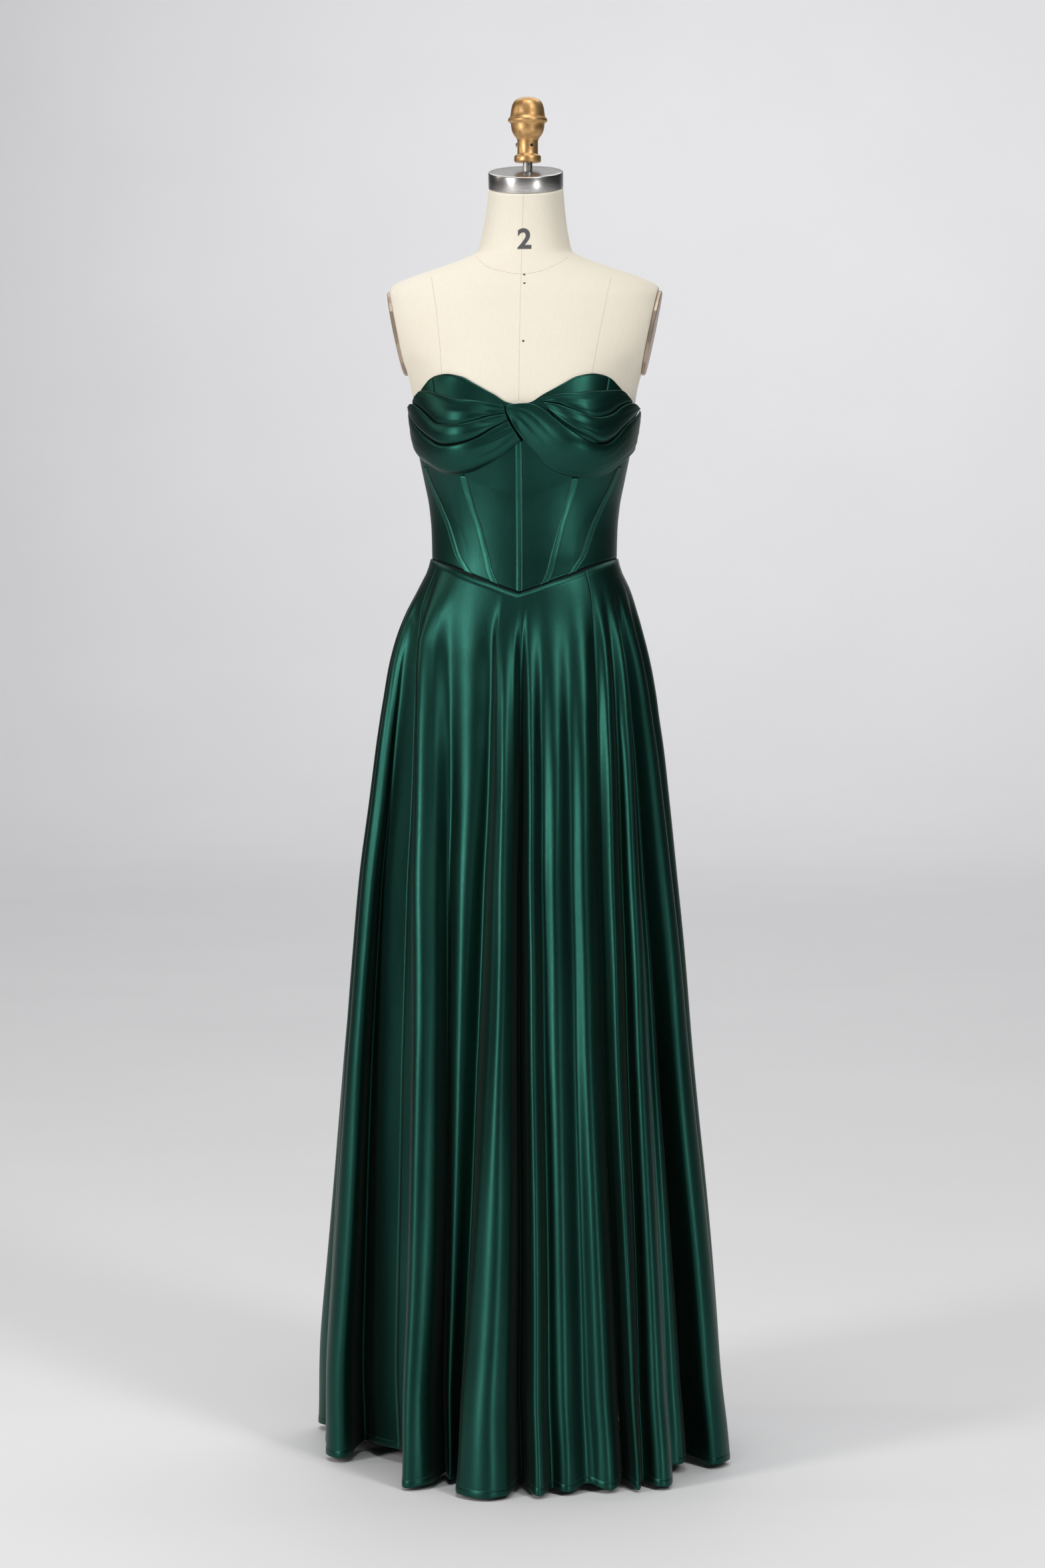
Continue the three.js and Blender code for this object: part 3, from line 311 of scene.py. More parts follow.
def hem_height(fold):
    row = fold_row(fold)
    return mix(FOLDS[row, 5], FOLDS[row + 1, 5], (1 - np.cos(np.pi * (fold - row))) / 2)


def skirt_top(fold):
    return fold_waist(fold) - SEAM_HALF


# materials
def material(name, build):
    made = bpy.data.materials.new(name)
    made.use_nodes = True
    build(made.node_tree, made.node_tree.nodes["Principled BSDF"])
    return made


def node(tree, kind, **inputs):
    made = tree.nodes.new(kind)
    for key, value in inputs.items():
        made.inputs[key.replace("_", " ")].default_value = value
    return made


def noise(tree, scale, stretch=(1, 1, 1), detail=3.0, roughness=0.5):
    place = tree.nodes.new("ShaderNodeTexCoord")
    mapping = node(tree, "ShaderNodeMapping", Scale=stretch)
    texture = node(tree, "ShaderNodeTexNoise", Scale=scale, Detail=detail, Roughness=roughness)
    tree.links.new(place.outputs["Object"], mapping.inputs["Vector"])
    tree.links.new(mapping.outputs["Vector"], texture.inputs["Vector"])
    return texture.outputs["Fac"]


def ramp(tree, source, stops):
    made = tree.nodes.new("ShaderNodeValToRGB")
    while len(made.color_ramp.elements) < len(stops):
        made.color_ramp.elements.new(0.5)
    for element, (place, colour) in zip(made.color_ramp.elements, stops):
        element.position = place
        element.color = (*colour, 1)
    tree.links.new(source, made.inputs["Fac"])
    return made.outputs["Color"]


def ranged(tree, source, low, high, start=0.0, end=1.0):
    made = node(tree, "ShaderNodeMapRange", From_Min=start, From_Max=end, To_Min=low, To_Max=high)
    tree.links.new(source, made.inputs["Value"])
    return made.outputs["Result"]


def bumped(tree, shader, layers):
    """Stack bumps of (height output, strength, distance in metres)."""
    normal = None
    for source, strength, distance in layers:
        made = node(tree, "ShaderNodeBump", Strength=strength, Distance=distance)
        tree.links.new(source, made.inputs["Height"])
        if normal is not None:
            tree.links.new(normal, made.inputs["Normal"])
        normal = made.outputs["Normal"]
    tree.links.new(normal, shader.inputs["Normal"])


SATIN_DEEP = (0.0086, 0.049, 0.038)
SATIN_LIGHT = (0.0143, 0.075, 0.058)


def satin(tree, shader, deep=SATIN_DEEP, light=SATIN_LIGHT, smooth=0.33, rough=0.45):
    cloud = noise(tree, 14, (1, 1, 0.35), 4)
    tree.links.new(ramp(tree, cloud, ((0.3, deep), (0.72, light))), shader.inputs["Base Color"])
    thread = noise(tree, 900, (1, 1, 0.12), 2)
    tree.links.new(ranged(tree, thread, smooth, rough), shader.inputs["Roughness"])
    shader.inputs["Metallic"].default_value = 0.96
    shader.inputs["Anisotropic"].default_value = 0.35
    shader.inputs["Sheen Weight"].default_value = 0.05
    shader.inputs["Sheen Roughness"].default_value = 0.4
    shader.inputs["Sheen Tint"].default_value = (0.75, 0.68, 0.6, 1)
    bumped(tree, shader, (
        (noise(tree, 26, (1, 1, 0.3), 3), 0.12, 0.004),
        (noise(tree, 160, (1, 1, 0.5), 2), 0.10, 0.0006),
        (thread, 0.22, 0.0002),
    ))


def tape(tree, shader):
    # the same satin in lighter colours, which paints the tapes' brighter sheen
    satin(tree, shader, (0.017, 0.098, 0.074), (0.026, 0.138, 0.105), 0.3, 0.42)


def linen(tree, shader):
    cloud = noise(tree, 5, (1, 1, 1), 4)
    slub = noise(tree, 420, (1, 1, 0.15), 3)
    tone = tree.nodes.new("ShaderNodeMix")
    tone.data_type = "RGBA"
    tree.links.new(ramp(tree, cloud, ((0.3, (0.79, 0.735, 0.617)), (0.7, (0.817, 0.771, 0.671)))),
                   tone.inputs[6])
    tone.inputs[7].default_value = (0.726, 0.653, 0.508, 1)
    tree.links.new(ranged(tree, slub, 0.0, 0.28, 0.45, 0.8), tone.inputs[0])
    tree.links.new(tone.outputs[2], shader.inputs["Base Color"])
    shader.inputs["Roughness"].default_value = 0.92
    shader.inputs["Sheen Weight"].default_value = 0.08
    shader.inputs["Specular IOR Level"].default_value = 0.25
    across = noise(tree, 700, (0.15, 0.15, 1), 2)
    bumped(tree, shader, ((slub, 0.22, 0.0004), (across, 0.2, 0.0003)))


def metal(dark, light, rough, scale, stretch=(1, 1, 1), metallic=1.0, pits=0.1):
    def build(tree, shader):
        cloud = noise(tree, scale, stretch, 5, 0.6)
        tree.links.new(ramp(tree, cloud, ((0.32, dark), (0.68, light))), shader.inputs["Base Color"])
        tree.links.new(ranged(tree, cloud, rough + 0.1, rough - 0.08), shader.inputs["Roughness"])
        shader.inputs["Metallic"].default_value = metallic
        bumped(tree, shader, ((noise(tree, scale * 6, stretch, 3), pits, 0.0003),))
    return build


def plain(colour, rough):
    def build(tree, shader):
        grain = noise(tree, 500, (1, 1, 1), 2)
        shade = tuple(0.75 * c for c in colour)
        tree.links.new(ramp(tree, grain, ((0.3, shade), (0.7, colour))), shader.inputs["Base Color"])
        shader.inputs["Roughness"].default_value = rough
    return build


SATIN = material("satin_cloth", satin)
TAPE = material("satin_tape_painted_sheen", tape)
LINEN = material("linen_cover", linen)
STEEL = material("brushed_steel", metal(
    (0.46, 0.45, 0.44), (0.62, 0.61, 0.60), 0.27, 60, stretch=(1, 1, 12), pits=0.04))
PLATE_PAINT = material("plate_enamel", metal(
    (0.42, 0.33, 0.26), (0.55, 0.44, 0.35), 0.35, 30, metallic=0.6))
GOLD = material("aged_gold", metal(
    (0.40, 0.22, 0.08), (0.74, 0.47, 0.21), 0.42, 90, metallic=0.9, pits=0.3))
IRON = material("cast_iron", metal(
    (0.015, 0.015, 0.017), (0.045, 0.045, 0.05), 0.6, 60, metallic=0.5, pits=0.5))
ZIP_PAINT = material("zip_enamel", metal(
    (0.006, 0.07, 0.05), (0.015, 0.12, 0.09), 0.35, 200, metallic=0.5))
THREAD = material("green_thread", plain((0.02, 0.16, 0.12), 0.5))
SEAM_THREAD = material("linen_seam", plain((0.70, 0.62, 0.48), 0.9))
# near-black green for painted shade in the seams and beside the tapes
SEAM_SHADE_PAINT = material("seam_shadow", plain((0.004, 0.018, 0.014), 0.7))
# near-black brown for the painted shade inside the knob's hole
HOLE_SHADE_PAINT = material("hole_shadow", plain((0.012, 0.009, 0.006), 0.9))
INK = material("grey_ink", plain((0.10, 0.10, 0.105), 0.8))
PIN_HEAD = material("pin_head", metal((0.12, 0.11, 0.10), (0.25, 0.24, 0.22), 0.35, 300))


# meshes
def make(name, points, faces, look, replaced=(), smooth=True):
    mesh = bpy.data.meshes.new(name)
    rows = faces.tolist() if isinstance(faces, np.ndarray) else faces
    mesh.from_pydata((np.asarray(points, float) * MM).tolist(), [], rows)
    mesh.validate()
    mesh.materials.append(look)
    if smooth:
        mesh.shade_smooth()
    piece = bpy.data.objects.new(name, mesh)
    bpy.context.scene.collection.objects.link(piece)
    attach(piece, ROOT)
    if replaced:
        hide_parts(*replaced)
    return piece


def normals_of(grid):
    return unit(np.cross(np.gradient(grid, axis=0), np.gradient(grid, axis=1)))


def edge_distance(grid):
    """Distance along the cloth from each point to the nearest of the four edges."""
    def run(axis):
        steps = np.linalg.norm(np.diff(grid, axis=axis), axis=-1)
        total = np.cumsum(steps, axis=axis)
        start = np.concatenate([np.zeros_like(np.take(total, [0], axis=axis)), total], axis=axis)
        end = np.take(start, [-1], axis=axis) - start
        return np.minimum(start, end)
    return np.minimum(run(0), run(1))


def wall_faces(n, m):
    """Faces of a closed wall between two grids of n by m points, the outer grid first."""
    ids = np.arange(n * m).reshape(n, m)
    a, b, c, d = ids[:-1, :-1], ids[1:, :-1], ids[1:, 1:], ids[:-1, 1:]
    front = np.stack([a, b, c, d], -1).reshape(-1, 4)
    back = np.stack([a, d, c, b], -1).reshape(-1, 4) + n * m
    rim = np.concatenate([ids[:, 0], ids[-1, 1:], ids[-2::-1, -1], ids[0, -2:0:-1]])
    nxt = np.roll(rim, -1)
    side = np.stack([rim, rim + n * m, nxt + n * m, nxt], -1)
    return np.concatenate([front, back, side])


def ring_faces(count, sides):
    """Faces of a closed stack of rings of points."""
    ids = np.arange(count * sides).reshape(count, sides)
    nxt = np.roll(ids, -1, axis=1)
    faces = np.stack([ids[:-1], nxt[:-1], nxt[1:], ids[1:]], -1).reshape(-1, 4).tolist()
    return faces + [ids[0, ::-1].tolist(), ids[-1].tolist()]


def cloth(name, grid, wall, look=SATIN, replaced=None, roll=0.2, roll_wide=0.8, flip=False):
    """A thin closed shell whose outer face is the grid, with softened edges."""
    normal = normals_of(grid) * (-1 if flip else 1)
    near = np.exp(-((edge_distance(grid) / roll_wide) ** 2))[..., None]
    outer = grid - normal * near * wall * roll
    inner = grid - normal * (wall * (1 - near * roll * 0.3))
    points = np.concatenate([outer.reshape(-1, 3), inner.reshape(-1, 3)])
    faces = wall_faces(*grid.shape[:2])
    if flip:
        faces = faces[:, ::-1]
    return make(f"{name}_cloth", points, faces, look, (name,) if replaced is None else replaced)


# bodice: each panel's piece and its outer face
PANEL_START = 1200.0


def panel(name, side, start, end, low, high, across, up):
    """A bodice panel between two seams and two edges, on one side of the form."""
    i = np.linspace(0, 1, across + 1)[:, None]
    j = np.linspace(0, 1, up + 1)[None, :]
    height = np.full((across + 1, up + 1), PANEL_START)
    for _ in range(10):
        first = beside(skin, start(height), height, SEAM_HALF)
        last = beside(skin, end(height), height, -SEAM_HALF)
        turn = mix(first, last, i)
        height = mix(low(turn), high(turn), j)
    grid = out_of(skin, side * turn, height, np.full_like(turn, BODICE_OUT))
    cloth(name, grid, BODICE_WALL, flip=side < 0)


def lower_edge(turn):
    return waist(turn) + SEAM_HALF


def underbust(turn):
    """The seam under the bust, which rises to the middle of the front."""
    return UNDERBUST + UNDERBUST_RISE * np.maximum(0, 1 - np.abs(turn) / UNDERBUST_FLAT)


def under_cup(turn):
    return underbust(turn) - SEAM_HALF


def cup_foot(turn):
    return underbust(turn) + SEAM_HALF


for side, hand in SIDES:
    panel(f"bodice_front_{hand}", side, always(0), inner_seam, lower_edge, under_cup, 20, 44)
    panel(f"bodice_side_front_{hand}", side, inner_seam, outer_seam, lower_edge, under_cup, 24, 40)
    panel(f"bodice_side_{hand}", side, outer_seam, always(90), lower_edge, top_edge, 28, 56)
    panel(f"bodice_back_{hand}", side, always(90), always(180), lower_edge, top_edge, 48, 56)
    panel(f"cup_inner_{hand}", side, always(0), always(CUP_SEAM), cup_foot, top_edge, 40, 36)
    panel(f"cup_outer_{hand}", side, always(CUP_SEAM), always(CUP_END), cup_foot, top_edge, 20, 32)


# bust drapes: a row is a station from the centre to the side, each pair a pleat's edge [turn, height]
DRAPE_LEFT = [
    [-6, 1326.5, -5.2, 1316, -4.2, 1308, 1, 1285], [-12, 1329, -13, 1313, -13, 1297, -7, 1267],
    [-17, 1331, -20, 1308, -21, 1287, -15, 1256], [-23, 1333, -28, 1304, -31, 1281, -25, 1247],
    [-29, 1334, -36, 1303, -42, 1280, -36, 1244], [-35, 1337, -44, 1305, -51, 1287, -47, 1247],
    [-41, 1341, -50, 1313, -61, 1297, -57, 1255], [-46, 1344, -57, 1322, -70, 1306, -68, 1262],
    [-52, 1346, -64, 1329, -80, 1316, -78, 1268], [-58, 1346.5, -72, 1332, -89.5, 1324, -89.5, 1274],
]
DRAPE_RIGHT = [
    [9.6, 1334.5, 10.8, 1330, 12.6, 1323.5], [15, 1338, 18, 1327, 20, 1308],
    [20, 1340, 24, 1322, 28, 1296], [26, 1341, 31, 1317, 37, 1287], [31, 1342.5, 38, 1312, 46, 1281],
    [36, 1344, 45, 1313, 55, 1288], [42, 1345, 52, 1318, 63, 1301], [47, 1346, 58, 1326, 72, 1311],
    [53, 1347, 65, 1331, 81, 1319], [58, 1346.5, 72, 1332, 89.5, 1324],
]
DRAPE_WRAP = [
    [-5, 1327, -5, 1320], [4, 1329, -2, 1303], [11, 1322, 2, 1286], [18, 1309, 8, 1270],
    [25, 1298, 14, 1254], [33, 1288, 23, 1245], [41, 1281, 33, 1242], [50, 1282, 43, 1242],
    [57, 1291, 52, 1246], [64, 1303, 61, 1254], [72, 1311, 70, 1263], [81, 1318, 80, 1270],
    [89.5, 1324, 89.5, 1276],
]
# down a pleat's face: share of its height, share that it sinks, share that it swells
BAND = np.array([[0, 0, 0], [0.1, 0, 0.55], [0.3, 0.01, 0.95], [0.5, 0.03, 1], [0.7, 0.08, 0.9],
                 [0.84, 0.22, 0.65], [0.91, 0.55, 0.3], [0.96, 1, 0]])
# small creases along a drape: how many across it, how far they slant, where they start, height in mm
CREASES = ((4.3, 0.7, 0.15, 0.5), (7.1, -0.9, 0.4, 0.38), (10.7, 1.4, 0.8, 0.22))


def creased(share, down):
    """Height of the creases, which gather at the centre and a little at the side seam."""
    near = math.exp(-share / 0.16) + 0.22 + 0.35 * math.exp(-(1 - share) / 0.1)
    waves = sum(high * np.sin(2 * math.pi * (count * down + slant * share + start))
                for count, slant, start, high in CREASES)
    return near * waves


def station(table, share, column):
    place = share * (len(table) - 1)
    row = min(len(table) - 2, int(place))
    t = place - row
    a, b, c, d = (table[min(max(k, 0), len(table) - 1)][column] for k in range(row - 1, row + 3))
    return b + 0.5 * t * (c - a + t * (2 * a - 5 * b + 4 * c - d + t * (3 * (b - c) + d - a)))


def pleat_path(edges, base, bulge, tuck_last, folded_foot):
    """The layers of a pleated stretch as [distance down the column, distance off the form]."""
    step = LAYER_STEP
    first = min(TUCK, 0.45 * (edges[1] - edges[0]))
    path = [(edges[0] + first, base), (edges[0] + FOLD_REACH, base), (edges[0], base + step / 2),
            (edges[0] + FOLD_REACH, base + step)]
    bands = len(edges) - 1
    for k in range(bands):
        top, foot = edges[k], edges[k + 1]
        tall = foot - top
        high = base + (1 if k == 0 else 2) * step
        swell = bulge * min(max(tall / 30, 0.15), 1)
        for t in np.linspace(0.06, 0.9, 13):
            sink, puff = along(BAND, t, 1), along(BAND, t, 2)
            path.append((top + t * tall, mix(high, base, sink) + puff * swell))
        if k < bands - 1:
            tuck = min(TUCK, 0.42 * (edges[k + 2] - foot))
            path += [(foot - 0.04 * tall, base + 0.1), (foot + tuck, base),
                     (foot + tuck + FOLD_REACH, base + step / 2), (foot + tuck, base + step),
                     (foot + FOLD_REACH, base + step), (foot, base + 1.5 * step),
                     (foot + FOLD_REACH, base + 2 * step)]
        elif folded_foot:
            path += [(foot - FOLD_REACH, base + step), (foot, base + step / 2),
                     (foot - FOLD_REACH, base), (foot - min(TUCK, 0.3 * tall), base)]
        else:
            path += [(foot - 0.04 * tall, base + 0.1), (foot + tuck_last, base)]
    return np.array(path)


def thicken(path, wall):
    """Both faces of a thick path."""
    steps = np.diff(path, axis=0)
    first = unit(np.concatenate([steps[:1], steps]))
    second = unit(np.concatenate([steps, steps[-1:]]))
    normal = unit(np.stack([-(first[:, 1] + second[:, 1]), first[:, 0] + second[:, 0]], -1))
    straight = np.stack([-second[:, 1], second[:, 0]], -1)
    stretch = 1 / np.maximum(0.75, np.abs((normal * straight).sum(-1)))
    far = (stretch * wall / 2)[:, None] * normal
    return path + far, path - far


def pleated(name, table, across, base, bulge, tuck_last=0.0, folded_foot=False):
    """One draped piece, worked out column by column from its table."""
    lines = len(table[0]) // 2
    faces = ([], [])
    for i in range(across + 1):
        share = i / across
        knots = np.array([[station(table, share, 2 * k), station(table, share, 2 * k + 1)]
                          for k in range(lines)])
        at = skin(knots[:, 0], knots[:, 1])
        down = np.concatenate([[0], np.cumsum(np.linalg.norm(np.diff(at, axis=0), axis=-1))])
        swell = mix(0.3, 1, math.sin(math.pi * min(max(share * 1.1, 0), 1)))
        path = pleat_path(down, base, bulge * swell, tuck_last, folded_foot)
        path[:, 1] += CREASE * creased(share, path[:, 0] / down[-1])
        for face, rows in zip(faces, thicken(path, DRAPE_WALL)):
            use = np.clip(np.searchsorted(down, rows[:, 0]) - 1, 0, lines - 2)
            t = (rows[:, 0] - down[use]) / (down[use + 1] - down[use])
            place = knots[use] + (knots[use + 1] - knots[use]) * t[:, None]
            face.append(out_of(skin, place[:, 0], place[:, 1], rows[:, 1]))
    outer, inner = np.array(faces[0]), np.array(faces[1])
    points = np.concatenate([outer.reshape(-1, 3), inner.reshape(-1, 3)])
    piece = make(f"{name}_cloth", points, wall_faces(*outer.shape[:2]), SATIN, (name,))
    mend_normals(piece)
    rounded = piece.modifiers.new("rounded", "SUBSURF")
    rounded.levels = rounded.render_levels = 1


def mend_normals(piece):
    work = bmesh.new()
    work.from_mesh(piece.data)
    bmesh.ops.recalc_face_normals(work, faces=work.faces)
    work.to_mesh(piece.data)
    work.free()


pleated("drape_left", DRAPE_LEFT, 80, DRAPE_BASE + 0.3, DRAPE_SWELL)
pleated("drape_right", DRAPE_RIGHT, 80, DRAPE_BASE + 0.3, DRAPE_SWELL, tuck_last=6.0)
pleated("drape_wrap", DRAPE_WRAP, 96, DRAPE_BASE + LAYER_STEP + 0.6, WRAP_SWELL, folded_foot=True)


# boning channels: name, height of the upper end, turn at a height
CHANNELS = (
    ("channel_centre", 1284, always(0)), ("channel_inner_left", 1242, lambda h: -inner_seam(h)),
    ("channel_inner_right", 1240, inner_seam),
    ("channel_outer_left", 1254, lambda h: -along(SEAMS, h, 2)),
    ("channel_outer_right", 1254, lambda h: along(SEAMS, h, 2)),
)
STITCH_ASIDE = 2.7
# across a channel: distance from its middle, height of its face over its wall
CHANNEL_SECTION = np.array([
    [-4, -0.35], [-3.85, -0.05], [-3.3, 0], [-2.95, -0.03], [-2.7, -0.2], [-2.45, -0.03], [-1.6, 0],
    [0, 0.03], [1.6, 0], [2.45, -0.03], [2.7, -0.2], [2.95, -0.03], [3.3, 0], [3.85, -0.05], [4, -0.35],
])
CHANNEL_FOOT = 1110.0
CHANNEL_ROWS = 60
FOOT_GAP = 0.5
FACE_SINK = 0.45


def tape_face(top, middle, out):
    """The columns of a tape's face, one for each row of CHANNEL_SECTION, that far off the form."""
    foot = float(waist(middle(np.array(CHANNEL_FOOT))))
    rows = np.linspace(0, 1, CHANNEL_ROWS)
    columns = []
    for (aside, _), off in zip(CHANNEL_SECTION, out):
        height = mix(foot, top, rows)
        for _ in range(8):
            turn = beside(skin, middle(height), height, aside) if aside else middle(height)
            height = mix(waist(turn) + FOOT_GAP, top, rows)
        columns.append(out_of(skin, turn + 0 * height, height, np.full_like(height, off)))
    return np.array(columns)


stitch_runs = []
tape_edges = []
face_out = BODICE_OUT + STRIP_GAP + CHANNEL_WALL + CHANNEL_SECTION[:, 1] - FACE_SINK
back_out = np.full(len(CHANNEL_SECTION), BODICE_OUT + STRIP_GAP * 0.4)
for name, top, middle in CHANNELS:
    grid, flat = tape_face(top, middle, face_out), tape_face(top, middle, back_out)
    points = np.concatenate([grid.reshape(-1, 3), flat.reshape(-1, 3)])
    strip = make(f"{name}_tape", points, wall_faces(*grid.shape[:2]), TAPE, (name,))
    mend_normals(strip)
    stitch_runs += [column[1:-1] for column, (aside, _) in zip(grid, CHANNEL_SECTION)
                    if abs(abs(aside) - STITCH_ASIDE) < 0.01]
    tape_edges += [flat[0], flat[-1]]

# skirt: name, first fold row, last fold row
SKIRT_PANELS = (("skirt_side_left", 0, 8), ("skirt_front", 8, 25), ("skirt_side_right", 25, 34),
                ("skirt_back_right", 34, 44), ("skirt_back_left", 44, 52))
HEM_DEEP = 9.0
HEM_ROWS = np.array([0, 0.6, 2, 5, 8, 8.8, 9.3, 10.5, 13])
FOLD_COLUMNS = 12
LONG_ROWS = 110
HEM_STITCH_ROW = 5
FOLD_REACH_MOST = 0.4
# slack in the cloth: folds across a wave, height of a wave, where it starts, depth in mm
WAVES = ((2.7, 830, 0.1, 0.5), (1.9, -410, 0.6, 0.3))


def skirt_lift(fold, height, above):
    """Small relief of the cloth over the skirt's main form."""
    hem = 0.35 * np.clip((HEM_DEEP + 0.3 - above) / 1.2, 0, 1)
    stitched = -0.3 * np.exp(-(((above - HEM_DEEP + 0.5) / 0.5) ** 2))
    calm = np.clip(above / 60, 0, 1) * along(FOLD_DEPTH, height, 1)
    waves = sum(high * np.sin(2 * math.pi * (fold / across + height / along_it + start))
                for across, along_it, start, high in WAVES)
    return hem + stitched + calm * waves


def skirt_panel(name, first, last):
    """A skirt panel between two rows of FOLDS."""
    count = (last - first) * FOLD_COLUMNS
    fold = np.linspace(first, last, count + 1)[:, None]
    bottom, top = hem_height(fold), skirt_top(fold)
    share = np.linspace(0, 1, LONG_ROWS + 1)[1:][None, :] ** 0.9
    height = np.concatenate([bottom + HEM_ROWS[None, :], mix(bottom + HEM_ROWS[-1], top, share)], axis=1)
    fold = fold + 0 * height
    fold[0] = beside(skirt_skin, fold[0], height[0], SEAM_HALF, FOLD_REACH_MOST)
    fold[-1] = beside(skirt_skin, fold[-1], height[-1], -SEAM_HALF, FOLD_REACH_MOST)
    grid = skirt_skin(fold, height)
    grid = grid + normals_of(grid) * skirt_lift(fold, height, height - bottom)[..., None]
    cloth(name, grid, SKIRT_WALL)
    stitch_runs.append(grid[2:-2, HEM_STITCH_ROW])


for entry in SKIRT_PANELS:
    skirt_panel(*entry)


# stitches
STITCH = {"pitch": 3.0, "long": 2.1, "radius": 0.2}
# along a stitch: share of its length, height over the cloth, share of its radius
STITCH_RINGS = ((0, -0.15, 0.5), (0.25, 0.12, 1), (0.75, 0.12, 1), (1, -0.15, 0.5))
STITCH_SIDES = 5


def stitches(name, runs, look, outward):
    """Small threads along each run, each one bowed over the cloth."""
    points, faces = [], []
    thread = ring_faces(len(STITCH_RINGS), STITCH_SIDES)
    angles = np.arange(STITCH_SIDES) * 2 * math.pi / STITCH_SIDES
    for run in runs:
        steps = np.linalg.norm(np.diff(run, axis=0), axis=-1)
        total = np.concatenate([[0], np.cumsum(steps)])
        starts = np.arange(0.5, total[-1] - STITCH["long"], STITCH["pitch"])
        if not len(starts):
            continue
        rings = []
        for part, lift, thick in STITCH_RINGS:
            at = starts + part * STITCH["long"]
            centre = np.stack([np.interp(at, total, run[:, k]) for k in range(3)], -1)
            ahead = np.stack([np.interp(at + 0.3, total, run[:, k]) for k in range(3)], -1)
            way = unit(ahead - centre)
            out = unit(outward(centre))
            out = unit(out - way * (out * way).sum(-1, keepdims=True))
            across = np.cross(way, out)
            ring = [centre + out * lift + thick * STITCH["radius"] * (
                across * math.cos(a) + out * math.sin(a)) for a in angles]
            rings.append(np.stack(ring, 1))
        block = np.stack(rings, 1)
        base = sum(len(done) for done in points)
        points.append(block.reshape(-1, 3))
        for first in base + np.arange(len(starts)) * len(STITCH_RINGS) * STITCH_SIDES:
            faces += [[int(first) + k for k in face] for face in thread]
    return make(name, np.concatenate(points), faces, look)


def away_from_axis(points):
    return np.stack([points[:, 0], points[:, 1], 0 * points[:, 2]], -1)


CHANNEL_RUNS = 2 * len(CHANNELS)
stitches("channel_stitches", stitch_runs[:CHANNEL_RUNS], THREAD, away_from_axis)
hem_thread = stitches("hem_stitches", stitch_runs[CHANNEL_RUNS:], THREAD, away_from_axis)


# dress form
def leaned(points):
    rise = np.clip((points[..., 2] - NECK["bend_from"]) / (NECK["top"] - NECK["bend_from"]), 0, 1)
    moved = points.copy()
    moved[..., 0] += NECK["aside"] * rise
    moved[..., 1] -= NECK["lean"] * rise * rise
    moved[..., 2] += NECK["tilt"] * rise * points[..., 1]
    return moved


ARM_LEAN = math.atan2(ARM_TOP[0] - ARM_LOW[0], ARM_TOP[1] - ARM_LOW[1])
# how far the flat cut at the arm goes along the plate's plane, from the plate's middle
ARM_CUT_FOOT = -78


def arm_frame(side):
    half = ARM_LOW[0] + (PLATE["height"] - ARM_LOW[1]) * math.tan(ARM_LEAN)
    facing = np.array([side * math.cos(ARM_LEAN), 0, -math.sin(ARM_LEAN)])
    upward = np.array([side * math.sin(ARM_LEAN), 0, math.cos(ARM_LEAN)])
    return np.array([side * half, PLATE["back"], PLATE["height"]]), facing, upward


def form_point(turn, height, out=0.0):
    at = leaned(out_of(skin, turn, height, np.full_like(np.asarray(turn, float) + 0 * height, out)))
    for side, _ in SIDES:
        centre, facing, upward = arm_frame(side)
        past = ((at - centre) * facing).sum(-1)
        rise = ((at - centre) * upward).sum(-1)
        cut = np.where((past > 0) & (rise > ARM_CUT_FOOT), past, 0)
        at = at - facing * cut[..., None]
    return at


def form_skin():
    turns = np.arange(0, 360, 2.0)
    turns = np.where(turns > 180, turns - 360, turns)
    foot, chest, top = FORM_SECTIONS[0, 0], 1340, FORM_SECTIONS[-1, 0]
    heights = np.concatenate([np.linspace(foot, chest, 60, endpoint=False), np.linspace(chest, top, 100)])
    grid = form_point(turns[None, :], heights[:, None])
    faces = ring_faces(len(heights), len(turns))
    make("form_cover", grid.reshape(-1, 3), faces, LINEN, ("form_body",))


form_skin()


def tube(name, path, radius, look, sides=8):
    """A closed tube along a path of points."""
    path = np.asarray(path, float)
    way = unit(np.gradient(path, axis=0))
    out = unit(away_from_axis(path))
    out = unit(out - way * (out * way).sum(-1, keepdims=True))
    across = np.cross(way, out)
    angle = np.arange(sides) * 2 * math.pi / sides
    rings = path[:, None] + radius * (across[:, None] * np.cos(angle)[None, :, None]
                                      + out[:, None] * np.sin(angle)[None, :, None])
    mend_normals(make(name, rings.reshape(-1, 3), ring_faces(len(path), sides), look))


# the painted shade line along the closed waist seam, a dark band of painted shade behind it, and the
# painted shadow lines beside the tapes
SHADE_BAND_REACH = 7
SHADE_BAND_OUT = 1.3
SHADE_BAND_WALL = 0.8
WAIST_SHADE_RADIUS = 0.3
TAPE_SHADE_RADIUS = 0.5
around = np.linspace(-179.9, 179.9, 361)
waist_line = out_of(skin, around, waist(around), np.full_like(around, BODICE_OUT - 0.2))
tube("waist_seam_shade", waist_line, WAIST_SHADE_RADIUS, SEAM_SHADE_PAINT)
# a dark band under the waist seam, which paints the shade in the gap between bodice and skirt
band_turn, band_rise = np.meshgrid(np.linspace(-180, 180, 181), np.linspace(-SHADE_BAND_REACH, SHADE_BAND_REACH, 5),
                                   indexing="ij")
band = out_of(skin, band_turn, waist(band_turn) + band_rise, np.full_like(band_turn, SHADE_BAND_OUT))
cloth("waist_shade_band", band, SHADE_BAND_WALL, SEAM_SHADE_PAINT, replaced=())
for count, edge in enumerate(tape_edges):
    tube(f"tape_shade_line_{count + 1}", edge, TAPE_SHADE_RADIUS, SEAM_SHADE_PAINT, 6)

